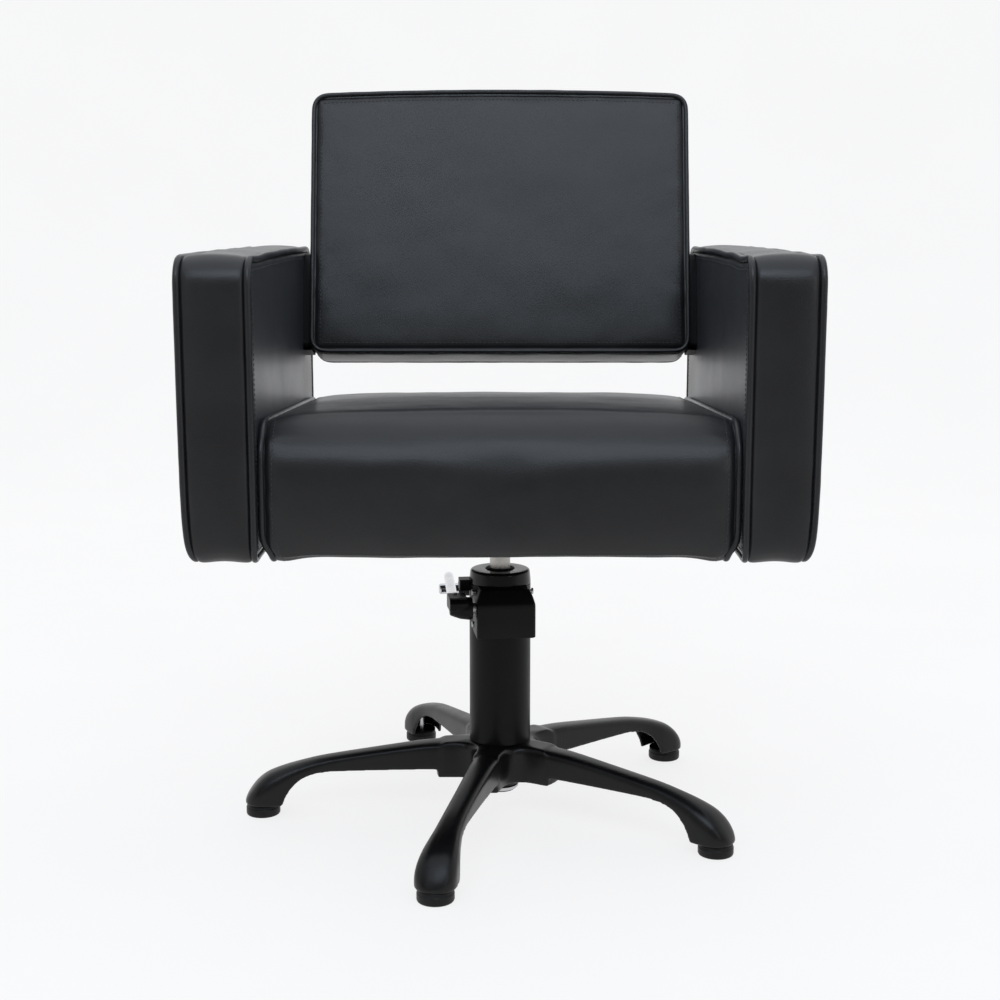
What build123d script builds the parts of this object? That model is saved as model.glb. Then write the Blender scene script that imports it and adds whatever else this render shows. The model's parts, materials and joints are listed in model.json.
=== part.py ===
from build123d import *
import os
from math import cos, radians, sin

# Styling chair: a padded seat between two box arms and a leaning back, on a hydraulic
# pump column and a five-arm star base, with a foot lever behind.
#
# Frame: origin on the floor under the swivel axis, +Z up. The sitter looks along -Y, so
# the sitter's left is +X. The lift is at its lowest and the foot lever is at rest.

# ---- driving dimensions, in millimetres ---------------------------------------------

# Upholstered arms
arm_out_x = 320.0
arm_in_x = 244.5
arm_front_y = -270.0
arm_back_y = 254.0
arm_low_z = 357.0
arm_top_z = 663.0
arm_corner_r = 28.0
pad_edge_r = 5.0
core_in_x = 262.0
core_out_x = 302.0
core_rail = 60.0
core_inset = 20.0

# Seat
seat_half_x = 242.0
seat_front_y = -258.0
seat_back_y = 235.0
seat_low_z = 358.0
seat_front_top_z = 500.0
seat_back_top_z = 472.0
seat_nose_r = 34.0
frame_half_x = 215.0
frame_front_y = -225.0
frame_back_y = 210.0
frame_low_z = 360.0
frame_rail_z = 410.0
frame_board_z = 419.0
frame_rail = 20.0
cross_rail_x = 70.0
cross_rail_w = 50.0
cross_rail_h = 25.0
dust_cover_t = 1.2

# Back
back_width = 468.0
back_height = 327.0
back_crown = 5.0
back_thick = 75.0
back_lean = 15.0
back_mid_y = 179.8
back_mid_z = 694.0
back_corner_r = 18.0
back_core_w = 400.0
back_core_h = 260.0
back_core_front = 15.0
back_core_thick = 45.0
back_core_rail = 40.0

# Bolts that join the arms to the seat and to the back
bolt_r = 4.0
bolt_hole_r = 4.3
bolt_head_r = 8.0
bolt_head_h = 5.5
bolt_depth = 34.0
spacer_w = 48.0
spacer_h = 122.0
spacer_corner_r = 8.0
spacer_height = -96.0
arm_bolt_ys = (-170.0, 0.0, 150.0)
arm_bolt_z = 392.0
back_bolt_heights = (-112.0, -54.0)

# Pump column
column_r = 36.0
column_bore_r = 32.0
column_low_z = 88.0
column_top_z = 277.0
floor_t = 6.0
spigot_r = 18.0
spigot_bore_r = 13.0
spigot_low_z = 25.0
hub_low_z = 31.0
washer_t = 2.5
valve_port_r = 3.0
wiper_r = 17.0
wiper_lip = 1.2
head_edge_r = 2.2
ring_t = 1.6
ring_groove_r = 16.6
valve_block_h = 9.0
tube_r = 19.0
tube_bore_r = 16.0
neck_low_z = 256.0
head_r = 36.2
head_top_z = 294.0
wiper_h = 6.0
fit_gap = 0.05

# Ram and seat swivel
ram_r = 12.0
ram_low_z = 104.0
ram_top_z = 343.0
seal_h = 6.0
seal_in_r = 14.0
arm_bolt_length = 96.0
piston_h = 16.0
bush_r = 15.0
socket_r = 24.0
socket_low_z = 315.0
socket_bore_top_z = 349.0
plate_low_z = 354.0
plate_size = 200.0
plate_bolt_pitch = 140.0

# Pump lever, in a frame turned about the column: x across, y back, z up
pump_yaw = 7.0
shaft_y = -48.0
shaft_z = 258.0
shaft_r = 6.0
shaft_in_x = 28.0
shaft_out_x = -47.0
crank_arm = 12.5
crank_nose_r = 4.0
crank_half_x = 8.0
crank_hub_r = 7.6
crank_arm_width = 5.2
rod_x = -56.0
rod_z = 262.0
rod_r = 6.0
rod_front_y = -52.0
rod_exit_y = 5.0
rod_knee_x = -51.0
rod_knee_y = 106.0
rod_knee_z = 262.5
rod_bend_radii = (120.0, 45.0)
bar_rod_x = -37.0
hub_socket_y = -18.0
hub_socket_r = 9.0
grub_y = -28.0
grub_r = 2.5
grub_proud = 1.5
hub_out_x = -64.0
hub_in_x = -38.0
lever_hub_r = 13.0
bar_y = 240.0
bar_z = 216.0
bar_r = 7.0
bar_left_x = -52.0
bar_right_x = 66.0
bar_end_r = 3.0
sleeve_left_x = -26.0
sleeve_right_x = 62.0
sleeve_r = 10.0
sleeve_end_r = 1.5
cover_half_x = 34.0
cover_front_y = -62.0
cover_low_z = 224.0
cover_top_z = 278.5
cover_shoulder_z = 263.0
cover_wall = 2.5
cover_hood_y = -46.5
cover_edge_r = 2.5
cover_screws_at = ((-24.0, 271.0), (-24.0, 233.0))
screw_r = 2.0
screw_head_r = 3.6
screw_head_h = 1.8
bearing_half_x = 28.0
bearing_slot_half_x = 20.0
bearing_front_y = -57.0
bearing_web_y = -39.0
bearing_back_y = -18.0
bearing_low_z = 246.0
bearing_top_z = 267.0
stop_out_x = -48.0
stop_in_x = -30.0
stop_mid_y = 6.0
stop_depth = 18.0
stop_low_z = 268.5
stop_top_z = 281.5
plunger_r = 4.0
plunger_z = shaft_z + crank_arm
plunger_head_r = 5.0
plunger_head_h = 1.9
plunger_front_y = -24.0
plunger_stop_y = -17.5
spring_seat_y = -28.0
spring_bore_r = 5.7
spring_r = 4.7
spring_wire_r = 0.5
spring_turns = 5

# Star base
star_arms = 5
star_first_angle = -103.7
foot_circle_r = 282.5
hub_r = 22.0
hub_web_r = 39.0
hub_web_z = 50.0
shoe_r = 22.4
shoe_low_z = 15.0
shoe_dome_z = 28.0
shoe_dome_h = 21.5
glide_r = 20.0
stem_r = 5.0
stem_low_z = 4.0
stem_top_z = 36.0
casting_wall = 4.0

# Sections of one arm of the star: distance out, half width, top, bottom
arm_sections = (
    (24.0, 20.0, 91.5, 47.0),
    (60.0, 16.5, 90.5, 50.0),
    (100.0, 14.5, 87.0, 50.5),
    (150.0, 13.5, 80.5, 51.0),
    (200.0, 13.7, 71.5, 51.5),
    (225.0, 14.8, 66.0, 48.0),
    (247.0, 17.5, 60.0, 36.0),
    (265.0, 20.5, 54.5, 18.0),
    (foot_circle_r, shoe_r, 49.5, shoe_low_z),
)
arm_top_r = 9.0

# ---- planes and shared shapes --------------------------------------------------------

lean = radians(back_lean)
back_plane = Plane(
    origin=(0, back_mid_y, back_mid_z),
    x_dir=(1, 0, 0),
    z_dir=(0, -cos(lean), sin(lean)),
)
yaw = radians(pump_yaw)
pump_across = (cos(yaw), sin(yaw), 0)
pump_back = (-sin(yaw), cos(yaw), 0)


def pump_point(x, y, z):
    """A point of the pump's turned frame, in the chair's frame."""
    return (x * cos(yaw) - y * sin(yaw), x * sin(yaw) + y * cos(yaw), z)


def pump_level(z):
    """A level plane in the pump's frame; its x is across and its y is back."""
    return Plane(origin=(0, 0, z), x_dir=pump_across, z_dir=(0, 0, 1))


def pump_side(x):
    """An upright plane across the pump; its x is back and its y is up."""
    return Plane(origin=pump_point(x, 0, 0), x_dir=pump_back, z_dir=pump_across)


def pump_facing(y):
    """An upright plane whose normal points to the back of the pump; its y is up."""
    return Plane(origin=pump_point(0, y, 0), x_dir=(-cos(yaw), -sin(yaw), 0), z_dir=pump_back)


def side_span(sign, inner, outer):
    """An upright plane across X to extrude from, to reach from inner to outer on one side."""
    return Plane(origin=(min(sign * inner, sign * outer), 0, 0), x_dir=(0, 1, 0), z_dir=(1, 0, 0))


def back_bolt_centre(height):
    """(Y, Z) of a back bolt at that height up the back."""
    depth = back_core_front + back_core_thick / 2
    return (
        back_mid_y + height * sin(lean) + depth * cos(lean),
        back_mid_z + height * cos(lean) - depth * sin(lean),
    )


arm_bolts_at = [(y, arm_bolt_z) for y in arm_bolt_ys]
back_bolts_at = [back_bolt_centre(height) for height in back_bolt_heights]
sides = {"left": 1, "right": -1}

os.makedirs("parts", exist_ok=True)


def save(piece, name):
    """Labels a finished piece and writes it as its own STEP."""
    piece.part.label = name
    export_step(piece.part, f"parts/{name}.step")


# ---- star base -------------------------------------------------------------------------

# One arm: a deep web at the hub, a long crowned back and a domed shoe over the glide.
with BuildPart() as arm_casting:
    for out, half, top, bottom in arm_sections:
        with BuildSketch(Plane(origin=(out, 0, 0), x_dir=(0, 1, 0), z_dir=(1, 0, 0))):
            with BuildLine():
                shoulder = half - arm_top_r
                Polyline(
                    (-half, top - arm_top_r),
                    (-half, bottom),
                    (half, bottom),
                    (half, top - arm_top_r),
                )
                CenterArc((shoulder, top - arm_top_r), arm_top_r, 0, 90)
                Line((shoulder, top), (-shoulder, top))
                CenterArc((-shoulder, top - arm_top_r), arm_top_r, 90, 90)
            make_face()
    loft()

# The space under an arm, open below.
with BuildPart() as arm_hollow:
    for out, half, top, bottom in arm_sections[2:]:
        with BuildSketch(Plane(origin=(out, 0, 0), x_dir=(0, 1, 0), z_dir=(1, 0, 0))):
            with BuildLine():
                inner = half - casting_wall
                ceiling = top - casting_wall
                Polyline(
                    (-inner, ceiling - casting_wall),
                    (-inner, bottom - casting_wall),
                    (inner, bottom - casting_wall),
                    (inner, ceiling - casting_wall),
                    (inner - casting_wall, ceiling),
                    (casting_wall - inner, ceiling),
                    close=True,
                )
            make_face()
    loft(ruled=True)

with BuildPart() as shoe_dome:
    with BuildSketch(Plane.XZ):
        with BuildLine():
            dome = EllipticalCenterArc((0, shoe_dome_z), shoe_r, shoe_dome_h, start_angle=0, arc_size=90)
            Polyline(dome @ 0, (shoe_r, shoe_low_z), (0, shoe_low_z), dome @ 1)
        make_face()
    revolve(axis=Axis.Z)

with BuildPart() as star_base:
    with BuildSketch(Plane.XY.offset(hub_low_z)):
        Circle(hub_r)
    extrude(amount=column_low_z - hub_low_z)
    with BuildSketch(Plane.XY.offset(hub_web_z)):
        Circle(hub_web_r)
    extrude(amount=column_low_z - hub_web_z)
    with PolarLocations(0, star_arms, start_angle=star_first_angle):
        add(arm_casting.part)
    with PolarLocations(0, star_arms, start_angle=star_first_angle):
        add(arm_hollow.part, mode=Mode.SUBTRACT)
    with PolarLocations(foot_circle_r, star_arms, start_angle=star_first_angle):
        add(shoe_dome.part)
    # Flat soles for the glides
    with BuildSketch(Plane.XY):
        with PolarLocations(foot_circle_r, star_arms, start_angle=star_first_angle):
            Circle(2 * shoe_r)
    extrude(amount=shoe_low_z, mode=Mode.SUBTRACT)
    with BuildSketch(Plane.XY.offset(shoe_low_z)):
        with PolarLocations(foot_circle_r, star_arms, start_angle=star_first_angle):
            Circle(stem_r)
    extrude(amount=stem_top_z - shoe_low_z, mode=Mode.SUBTRACT)
    # Seat of the pump column
    with BuildSketch(Plane.XY.offset(column_low_z)):
        Circle(column_r + fit_gap)
    extrude(amount=hub_web_r, mode=Mode.SUBTRACT)
    with BuildSketch(Plane.XY):
        Circle(spigot_r + fit_gap)
    extrude(amount=column_low_z, mode=Mode.SUBTRACT)
save(star_base, "star_base")

# One glide: a rubber foot with a blind hole for its stem.
with BuildPart() as glide_form:
    with BuildSketch(Plane.XY):
        Circle(glide_r)
    extrude(amount=shoe_low_z)
    chamfer(glide_form.edges().group_by(Axis.Z)[0], 1)
    with BuildSketch(Plane.XY.offset(stem_low_z)):
        Circle(stem_r)
    extrude(amount=shoe_low_z, mode=Mode.SUBTRACT)

for index in range(star_arms):
    with BuildPart() as glide:
        with PolarLocations(foot_circle_r, 1, start_angle=star_first_angle + index * 360 / star_arms):
            add(glide_form.part)
    save(glide, f"glide_{index + 1}")

with BuildPart() as glide_stems:
    with BuildSketch(Plane.XY.offset(stem_low_z)):
        with PolarLocations(foot_circle_r, star_arms, start_angle=star_first_angle):
            Circle(stem_r)
    extrude(amount=stem_top_z - stem_low_z)
save(glide_stems, "glide_stems")

# Washer and snap ring that hold the column down in the hub.
with BuildPart() as hub_washer:
    with BuildSketch(Plane.XY.offset(hub_low_z - washer_t)):
        Circle(hub_r)
        Circle(spigot_r + fit_gap, mode=Mode.SUBTRACT)
    extrude(amount=washer_t)
save(hub_washer, "hub_washer")

ring_top_z = hub_low_z - washer_t
with BuildPart() as hub_snap_ring:
    with BuildSketch(Plane.XY.offset(ring_top_z - ring_t)):
        Circle(hub_r - ring_t)
        Circle(ring_groove_r, mode=Mode.SUBTRACT)
    extrude(amount=ring_t)
save(hub_snap_ring, "hub_snap_ring")

# ---- pump column -----------------------------------------------------------------------

# The column: a tube with a floor and a spigot that goes down through the hub.
with BuildPart() as pump_column:
    with BuildSketch(Plane.XY.offset(column_low_z)):
        Circle(column_r)
    extrude(amount=column_top_z - column_low_z)
    with BuildSketch(Plane.XY.offset(spigot_low_z)):
        Circle(spigot_r)
    extrude(amount=column_low_z - spigot_low_z)
    with BuildSketch(Plane.XY.offset(column_low_z + floor_t)):
        Circle(column_bore_r)
    extrude(amount=column_top_z, mode=Mode.SUBTRACT)
    with BuildSketch(Plane.XY.offset(spigot_low_z)):
        Circle(spigot_bore_r)
    extrude(amount=column_top_z, mode=Mode.SUBTRACT)
    with BuildSketch(Plane.XY.offset(ring_top_z - ring_t)):
        Circle(spigot_r + ring_t)
        Circle(ring_groove_r, mode=Mode.SUBTRACT)
    extrude(amount=ring_t, mode=Mode.SUBTRACT)
    # Hole for the plunger and its spring
    with BuildSketch(pump_facing(-column_r - ring_t)):
        with Locations((0, plunger_z)):
            Circle(spring_bore_r)
    extrude(amount=column_r - column_bore_r + 2 * ring_t, mode=Mode.SUBTRACT)
save(pump_column, "pump_column")

# Valve block on the column's floor; the pressure tube stands on it.
valve_top_z = column_low_z + floor_t + valve_block_h
with BuildPart() as valve_block:
    with BuildSketch(Plane.XY.offset(column_low_z + floor_t)):
        Circle(column_bore_r - fit_gap)
    extrude(amount=valve_block_h)
    with BuildSketch(Plane.XY.offset(column_low_z + floor_t)):
        Circle(valve_port_r)
    extrude(amount=valve_block_h, mode=Mode.SUBTRACT)
save(valve_block, "valve_block")

with BuildPart() as pressure_tube:
    with BuildSketch(Plane.XY.offset(valve_top_z)):
        Circle(tube_r)
        Circle(tube_bore_r, mode=Mode.SUBTRACT)
    extrude(amount=neck_low_z - valve_top_z)
save(pressure_tube, "pressure_tube")

# The head closes the column, guides the ram and holds the plunger's port.
with BuildPart() as pump_head:
    with BuildSketch(Plane.XY.offset(neck_low_z)):
        Circle(column_bore_r - fit_gap)
    extrude(amount=column_top_z - neck_low_z)
    with BuildSketch(Plane.XY.offset(column_top_z)):
        Circle(head_r)
    extrude(amount=head_top_z - column_top_z)
    fillet(pump_head.edges().group_by(Axis.Z)[-1], head_edge_r)
    with BuildSketch(Plane.XY.offset(neck_low_z)):
        Circle(bush_r)
    extrude(amount=head_top_z, mode=Mode.SUBTRACT)
    with BuildSketch(Plane.XY.offset(head_top_z - wiper_h)):
        Circle(wiper_r)
    extrude(amount=wiper_h, mode=Mode.SUBTRACT)
    with BuildSketch(pump_facing(-head_r)):
        with Locations((0, plunger_z)):
            Circle(spring_bore_r)
    extrude(amount=head_r + spring_seat_y, mode=Mode.SUBTRACT)
    with BuildSketch(pump_facing(spring_seat_y)):
        with Locations((0, plunger_z)):
            Circle(plunger_r + fit_gap)
    extrude(amount=plunger_stop_y - spring_seat_y, mode=Mode.SUBTRACT)
save(pump_head, "pump_head")

with BuildPart() as guide_bush:
    with BuildSketch(Plane.XY.offset(neck_low_z)):
        Circle(bush_r)
        Circle(ram_r + fit_gap, mode=Mode.SUBTRACT)
    extrude(amount=head_top_z - wiper_h - neck_low_z)
save(guide_bush, "guide_bush")

with BuildPart() as wiper_seal:
    with BuildSketch(Plane.XY.offset(head_top_z - wiper_h)):
        Circle(wiper_r)
        Circle(ram_r + fit_gap, mode=Mode.SUBTRACT)
    extrude(amount=wiper_h + wiper_lip)
    wiper_rims = wiper_seal.edges().filter_by(GeomType.CIRCLE).group_by(Axis.Z)[-1]
    chamfer(wiper_rims.sort_by(SortBy.RADIUS)[-1], wiper_lip)
save(wiper_seal, "wiper_seal")

# ---- pump mechanism on the front of the column -----------------------------------------

# Cover: a box with a rounded hood, open where it meets the column.
with BuildPart() as pump_cover:
    with BuildSketch(pump_side(-cover_half_x)):
        with BuildLine():
            hood = TangentArc((cover_front_y, cover_shoulder_z), (cover_hood_y, cover_top_z), tangent=(0, 1))
            Polyline(
                hood @ 1,
                (0, cover_top_z),
                (0, cover_low_z),
                (cover_front_y, cover_low_z),
                hood @ 0,
            )
        make_face()
    extrude(amount=2 * cover_half_x)
    fillet(pump_cover.faces().sort_by(Axis.Y)[0].edges(), cover_edge_r)
    with BuildSketch(pump_side(cover_wall - cover_half_x)):
        with BuildLine():
            lining = TangentArc(
                (cover_front_y + cover_wall, cover_shoulder_z),
                (cover_hood_y, cover_top_z - cover_wall),
                tangent=(0, 1),
            )
            Polyline(
                lining @ 1,
                (0, cover_top_z - cover_wall),
                (0, cover_low_z + cover_wall),
                (cover_front_y + cover_wall, cover_low_z + cover_wall),
                lining @ 0,
            )
        make_face()
    extrude(amount=2 * (cover_half_x - cover_wall), mode=Mode.SUBTRACT)
    # Cut back to the column and the head
    with BuildSketch(Plane.XY):
        Circle(column_r + fit_gap)
    extrude(amount=head_top_z, mode=Mode.SUBTRACT)
    with BuildSketch(Plane.XY.offset(column_top_z - fit_gap)):
        Circle(head_r + fit_gap)
    extrude(amount=head_top_z, mode=Mode.SUBTRACT)
    # Hole for the lever shaft and for the screws
    with BuildSketch(pump_side(-cover_half_x)):
        with Locations((shaft_y, shaft_z)):
            Circle(shaft_r + cover_wall / 4)
        with Locations(*cover_screws_at):
            Circle(screw_r)
    extrude(amount=cover_wall, mode=Mode.SUBTRACT)
    with BuildSketch(pump_side(cover_half_x - cover_wall)):
        with Locations(*cover_screws_at):
            Circle(screw_r)
    extrude(amount=cover_wall, mode=Mode.SUBTRACT)
save(pump_cover, "pump_cover")

# Bearing for the lever shaft: two ears and a web on the column.
with BuildPart() as shaft_bearing:
    with BuildSketch(pump_level(bearing_low_z)):
        with BuildLine():
            Polyline(
                (-bearing_half_x, bearing_front_y),
                (bearing_half_x, bearing_front_y),
                (bearing_half_x, bearing_back_y),
                (-bearing_half_x, bearing_back_y),
                close=True,
            )
        make_face()
    extrude(amount=bearing_top_z - bearing_low_z)
    with BuildSketch(pump_level(bearing_low_z)):
        with Locations((0, bearing_front_y)):
            Rectangle(2 * bearing_slot_half_x, 2 * (bearing_web_y - bearing_front_y))
    extrude(amount=bearing_top_z, mode=Mode.SUBTRACT)
    with BuildSketch(Plane.XY):
        Circle(column_r + fit_gap)
    extrude(amount=head_top_z, mode=Mode.SUBTRACT)
    with BuildSketch(pump_side(-bearing_half_x)):
        with Locations((shaft_y, shaft_z)):
            Circle(shaft_r + fit_gap)
    extrude(amount=2 * bearing_half_x, mode=Mode.SUBTRACT)
    with BuildSketch(pump_facing(bearing_front_y)):
        with Locations((0, plunger_z)):
            Circle(spring_bore_r + fit_gap)
    extrude(amount=-bearing_front_y, mode=Mode.SUBTRACT)
save(shaft_bearing, "shaft_bearing")

# Pan-head screws, two on each side of the cover.
with BuildPart() as cover_screws:
    with BuildSketch(pump_side(-cover_half_x - screw_head_h)):
        with Locations(*cover_screws_at):
            Circle(screw_head_r)
    extrude(amount=screw_head_h)
    with BuildSketch(pump_side(cover_half_x)):
        with Locations(*cover_screws_at):
            Circle(screw_head_r)
    extrude(amount=screw_head_h)
    with BuildSketch(pump_side(-cover_half_x)):
        with Locations(*cover_screws_at):
            Circle(screw_r)
    extrude(amount=cover_wall)
    with BuildSketch(pump_side(cover_half_x - cover_wall)):
        with Locations(*cover_screws_at):
            Circle(screw_r)
    extrude(amount=cover_wall)
save(cover_screws, "cover_screws")

# Stop on the left of the head, over the lever hub's heel.
with BuildPart() as lever_stop:
    with BuildSketch(pump_level(stop_low_z)):
        with Locations(((stop_out_x + stop_in_x) / 2, stop_mid_y)):
            Rectangle(stop_in_x - stop_out_x, stop_depth)
    extrude(amount=stop_top_z - stop_low_z)
    fillet(lever_stop.edges().filter_by(Axis.Z), pad_edge_r / 2)
    with BuildSketch(Plane.XY):
        Circle(head_r + fit_gap)
    extrude(amount=head_top_z, mode=Mode.SUBTRACT)
save(lever_stop, "lever_stop")

# ---- foot lever ------------------------------------------------------------------------

with BuildPart() as lever_shaft:
    with BuildSketch(pump_side(shaft_out_x)):
        with Locations((shaft_y, shaft_z)):
            Circle(shaft_r)
    extrude(amount=shaft_in_x - shaft_out_x)
save(lever_shaft, "lever_shaft")

# Crank on the shaft; its nose pushes the plunger.
with BuildPart() as lever_crank:
    with BuildSketch(pump_side(-crank_half_x)):
        with Locations((shaft_y, shaft_z)):
            Circle(crank_hub_r)
        with Locations((shaft_y, shaft_z + crank_arm / 2)):
            Rectangle(crank_arm_width, crank_arm)
        with Locations((shaft_y, shaft_z + crank_arm)):
            Circle(crank_nose_r)
        with Locations((shaft_y, shaft_z)):
            Circle(shaft_r, mode=Mode.SUBTRACT)
    extrude(amount=2 * crank_half_x)
save(lever_crank, "lever_crank")

# Lever hub: clamps the shaft, and its socket holds the rod.
with BuildPart() as lever_hub:
    with BuildSketch(pump_side(hub_out_x)):
        with Locations((shaft_y, shaft_z)):
            Circle(lever_hub_r)
    extrude(amount=hub_in_x - hub_out_x)
    with BuildSketch(pump_side(hub_out_x)):
        with Locations(((shaft_y + hub_socket_y) / 2, rod_z)):
            Rectangle(hub_socket_y - shaft_y, 2 * hub_socket_r)
    extrude(amount=rod_x + hub_socket_r - hub_out_x)
    with BuildSketch(pump_side(shaft_out_x)):
        with Locations((shaft_y, shaft_z)):
            Circle(shaft_r)
    extrude(amount=hub_in_x - shaft_out_x, mode=Mode.SUBTRACT)
    with BuildSketch(pump_facing(rod_front_y)):
        with Locations((-rod_x, rod_z)):
            Circle(rod_r)
    extrude(amount=hub_socket_y - rod_front_y, mode=Mode.SUBTRACT)
    # Threaded hole of the grub screw, down from the top of the socket
    with BuildSketch(pump_level(rod_z + rod_r - fit_gap)):
        with Locations((rod_x, grub_y)):
            Circle(grub_r)
    extrude(amount=hub_socket_r, mode=Mode.SUBTRACT)
save(lever_hub, "lever_hub")

with BuildPart() as lever_grub_screw:
    with BuildSketch(pump_level(rod_z + rod_r)):
        with Locations((rod_x, grub_y)):
            Circle(grub_r)
    extrude(amount=hub_socket_r - rod_r + grub_proud)
save(lever_grub_screw, "lever_grub_screw")

# Lever rod: back from the hub past the column, then down to the foot bar.
with BuildPart() as lever_rod:
    with BuildLine():
        FilletPolyline(
            pump_point(rod_x, rod_front_y, rod_z),
            pump_point(rod_x, rod_exit_y, rod_z),
            pump_point(rod_knee_x, rod_knee_y, rod_knee_z),
            pump_point(bar_rod_x, bar_y, bar_z),
            radius=list(rod_bend_radii),
        )
    with BuildSketch(pump_facing(rod_front_y)):
        with Locations((-rod_x, rod_z)):
            Circle(rod_r)
    sweep(transition=Transition.RIGHT)
    with BuildSketch(pump_side(bar_left_x)):
        with Locations((bar_y, bar_z)):
            Circle(bar_r)
    extrude(amount=bar_right_x - bar_left_x, mode=Mode.SUBTRACT)
save(lever_rod, "lever_rod")

# Foot bar across the end of the rod.
with BuildPart() as foot_bar:
    with BuildSketch(pump_side(bar_left_x)):
        with Locations((bar_y, bar_z)):
            Circle(bar_r)
    extrude(amount=bar_right_x - bar_left_x)
    fillet(foot_bar.edges().filter_by(GeomType.CIRCLE), bar_end_r)
save(foot_bar, "foot_bar")

with BuildPart() as foot_bar_sleeve:
    with BuildSketch(pump_side(sleeve_left_x)):
        with Locations((bar_y, bar_z)):
            Circle(sleeve_r)
            Circle(bar_r, mode=Mode.SUBTRACT)
    extrude(amount=sleeve_right_x - sleeve_left_x)
    sleeve_rims = foot_bar_sleeve.edges().filter_by(GeomType.CIRCLE).group_by(SortBy.RADIUS)[-1]
    fillet(sleeve_rims, sleeve_end_r)
save(foot_bar_sleeve, "foot_bar_sleeve")

# ---- plunger ---------------------------------------------------------------------------

plunger_back_y = shaft_y + crank_nose_r + 2 * fit_gap
with BuildPart() as pump_plunger:
    with BuildSketch(pump_facing(plunger_back_y)):
        with Locations((0, plunger_z)):
            Circle(plunger_head_r)
    extrude(amount=plunger_head_h)
    with BuildSketch(pump_facing(plunger_back_y)):
        with Locations((0, plunger_z)):
            Circle(plunger_r)
    extrude(amount=plunger_front_y - plunger_back_y)
save(pump_plunger, "pump_plunger")

spring_length = spring_seat_y - plunger_back_y - plunger_head_h
spring_lift = spring_length - 2 * spring_wire_r - 2 * fit_gap
with BuildPart() as plunger_spring:
    with BuildLine() as coil:
        Helix(
            pitch=spring_lift / spring_turns,
            height=spring_lift,
            radius=spring_r,
            center=pump_point(0, plunger_back_y + plunger_head_h + spring_wire_r + fit_gap, plunger_z),
            direction=pump_back,
        )
    with BuildSketch(Plane(origin=coil.line @ 0, z_dir=coil.line % 0)):
        Circle(spring_wire_r)
    sweep(is_frenet=True)
save(plunger_spring, "plunger_spring")

# ---- ram -------------------------------------------------------------------------------

with BuildPart() as ram:
    with BuildSketch(Plane.XY.offset(ram_low_z)):
        Circle(ram_r)
    extrude(amount=ram_top_z - ram_low_z)
    chamfer(ram.edges().group_by(Axis.Z)[-1], pad_edge_r / 5)
save(ram, "ram")

piston_groove_z = ram_low_z + (piston_h - seal_h) / 2
with BuildPart() as ram_piston:
    with BuildSketch(Plane.XY.offset(ram_low_z)):
        Circle(tube_bore_r - fit_gap)
        Circle(ram_r, mode=Mode.SUBTRACT)
    extrude(amount=piston_h)
    with BuildSketch(Plane.XY.offset(piston_groove_z)):
        Circle(tube_bore_r)
        Circle(seal_in_r, mode=Mode.SUBTRACT)
    extrude(amount=seal_h, mode=Mode.SUBTRACT)
save(ram_piston, "ram_piston")

with BuildPart() as piston_seal:
    with BuildSketch(Plane.XY.offset(piston_groove_z)):
        Circle(tube_bore_r - fit_gap / 2)
        Circle(seal_in_r, mode=Mode.SUBTRACT)
    extrude(amount=seal_h)
save(piston_seal, "piston_seal")

# ---- seat swivel and mounting plate ----------------------------------------------------

with BuildPart() as swivel_socket:
    with BuildSketch(Plane.XY.offset(socket_low_z)):
        Circle(socket_r)
    extrude(amount=plate_low_z - socket_low_z)
    with BuildSketch(Plane.XY.offset(socket_low_z)):
        Circle(bush_r)
    extrude(amount=socket_bore_top_z - socket_low_z, mode=Mode.SUBTRACT)
save(swivel_socket, "swivel_socket")

with BuildPart() as swivel_bush:
    with BuildSketch(Plane.XY.offset(socket_low_z)):
        Circle(bush_r)
        Circle(ram_r + fit_gap, mode=Mode.SUBTRACT)
    extrude(amount=ram_top_z - socket_low_z)
save(swivel_bush, "swivel_bush")

with BuildPart() as thrust_bearing:
    with BuildSketch(Plane.XY.offset(ram_top_z + fit_gap)):
        Circle(bush_r)
    extrude(amount=socket_bore_top_z - ram_top_z - fit_gap)
save(thrust_bearing, "thrust_bearing")

with BuildPart() as mounting_plate:
    with BuildSketch(Plane.XY.offset(plate_low_z)):
        RectangleRounded(plate_size, plate_size, socket_r / 2)
        with GridLocations(plate_bolt_pitch, plate_bolt_pitch, 2, 2):
            Circle(bolt_r, mode=Mode.SUBTRACT)
    extrude(amount=frame_low_z - plate_low_z)
save(mounting_plate, "mounting_plate")

with BuildPart() as plate_bolts:
    with BuildSketch(Plane.XY.offset(plate_low_z - bolt_head_h)):
        with GridLocations(plate_bolt_pitch, plate_bolt_pitch, 2, 2):
            RegularPolygon(bolt_head_r, 6)
    extrude(amount=bolt_head_h)
    with BuildSketch(Plane.XY.offset(plate_low_z)):
        with GridLocations(plate_bolt_pitch, plate_bolt_pitch, 2, 2):
            Circle(bolt_r)
    extrude(amount=frame_low_z + cross_rail_h - plate_low_z)
save(plate_bolts, "plate_bolts")

# ---- seat ------------------------------------------------------------------------------

frame_depth = frame_back_y - frame_front_y
frame_mid_y = (frame_back_y + frame_front_y) / 2
rail_h = frame_rail_z - frame_low_z

for name, rail_mid_y in (("front", frame_front_y + frame_rail / 2), ("back", frame_back_y - frame_rail / 2)):
    with BuildPart() as end_rail:
        with BuildSketch(Plane.XY.offset(frame_low_z)):
            with Locations((0, rail_mid_y)):
                Rectangle(2 * frame_half_x, frame_rail)
        extrude(amount=rail_h)
    save(end_rail, f"seat_rail_{name}")

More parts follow.
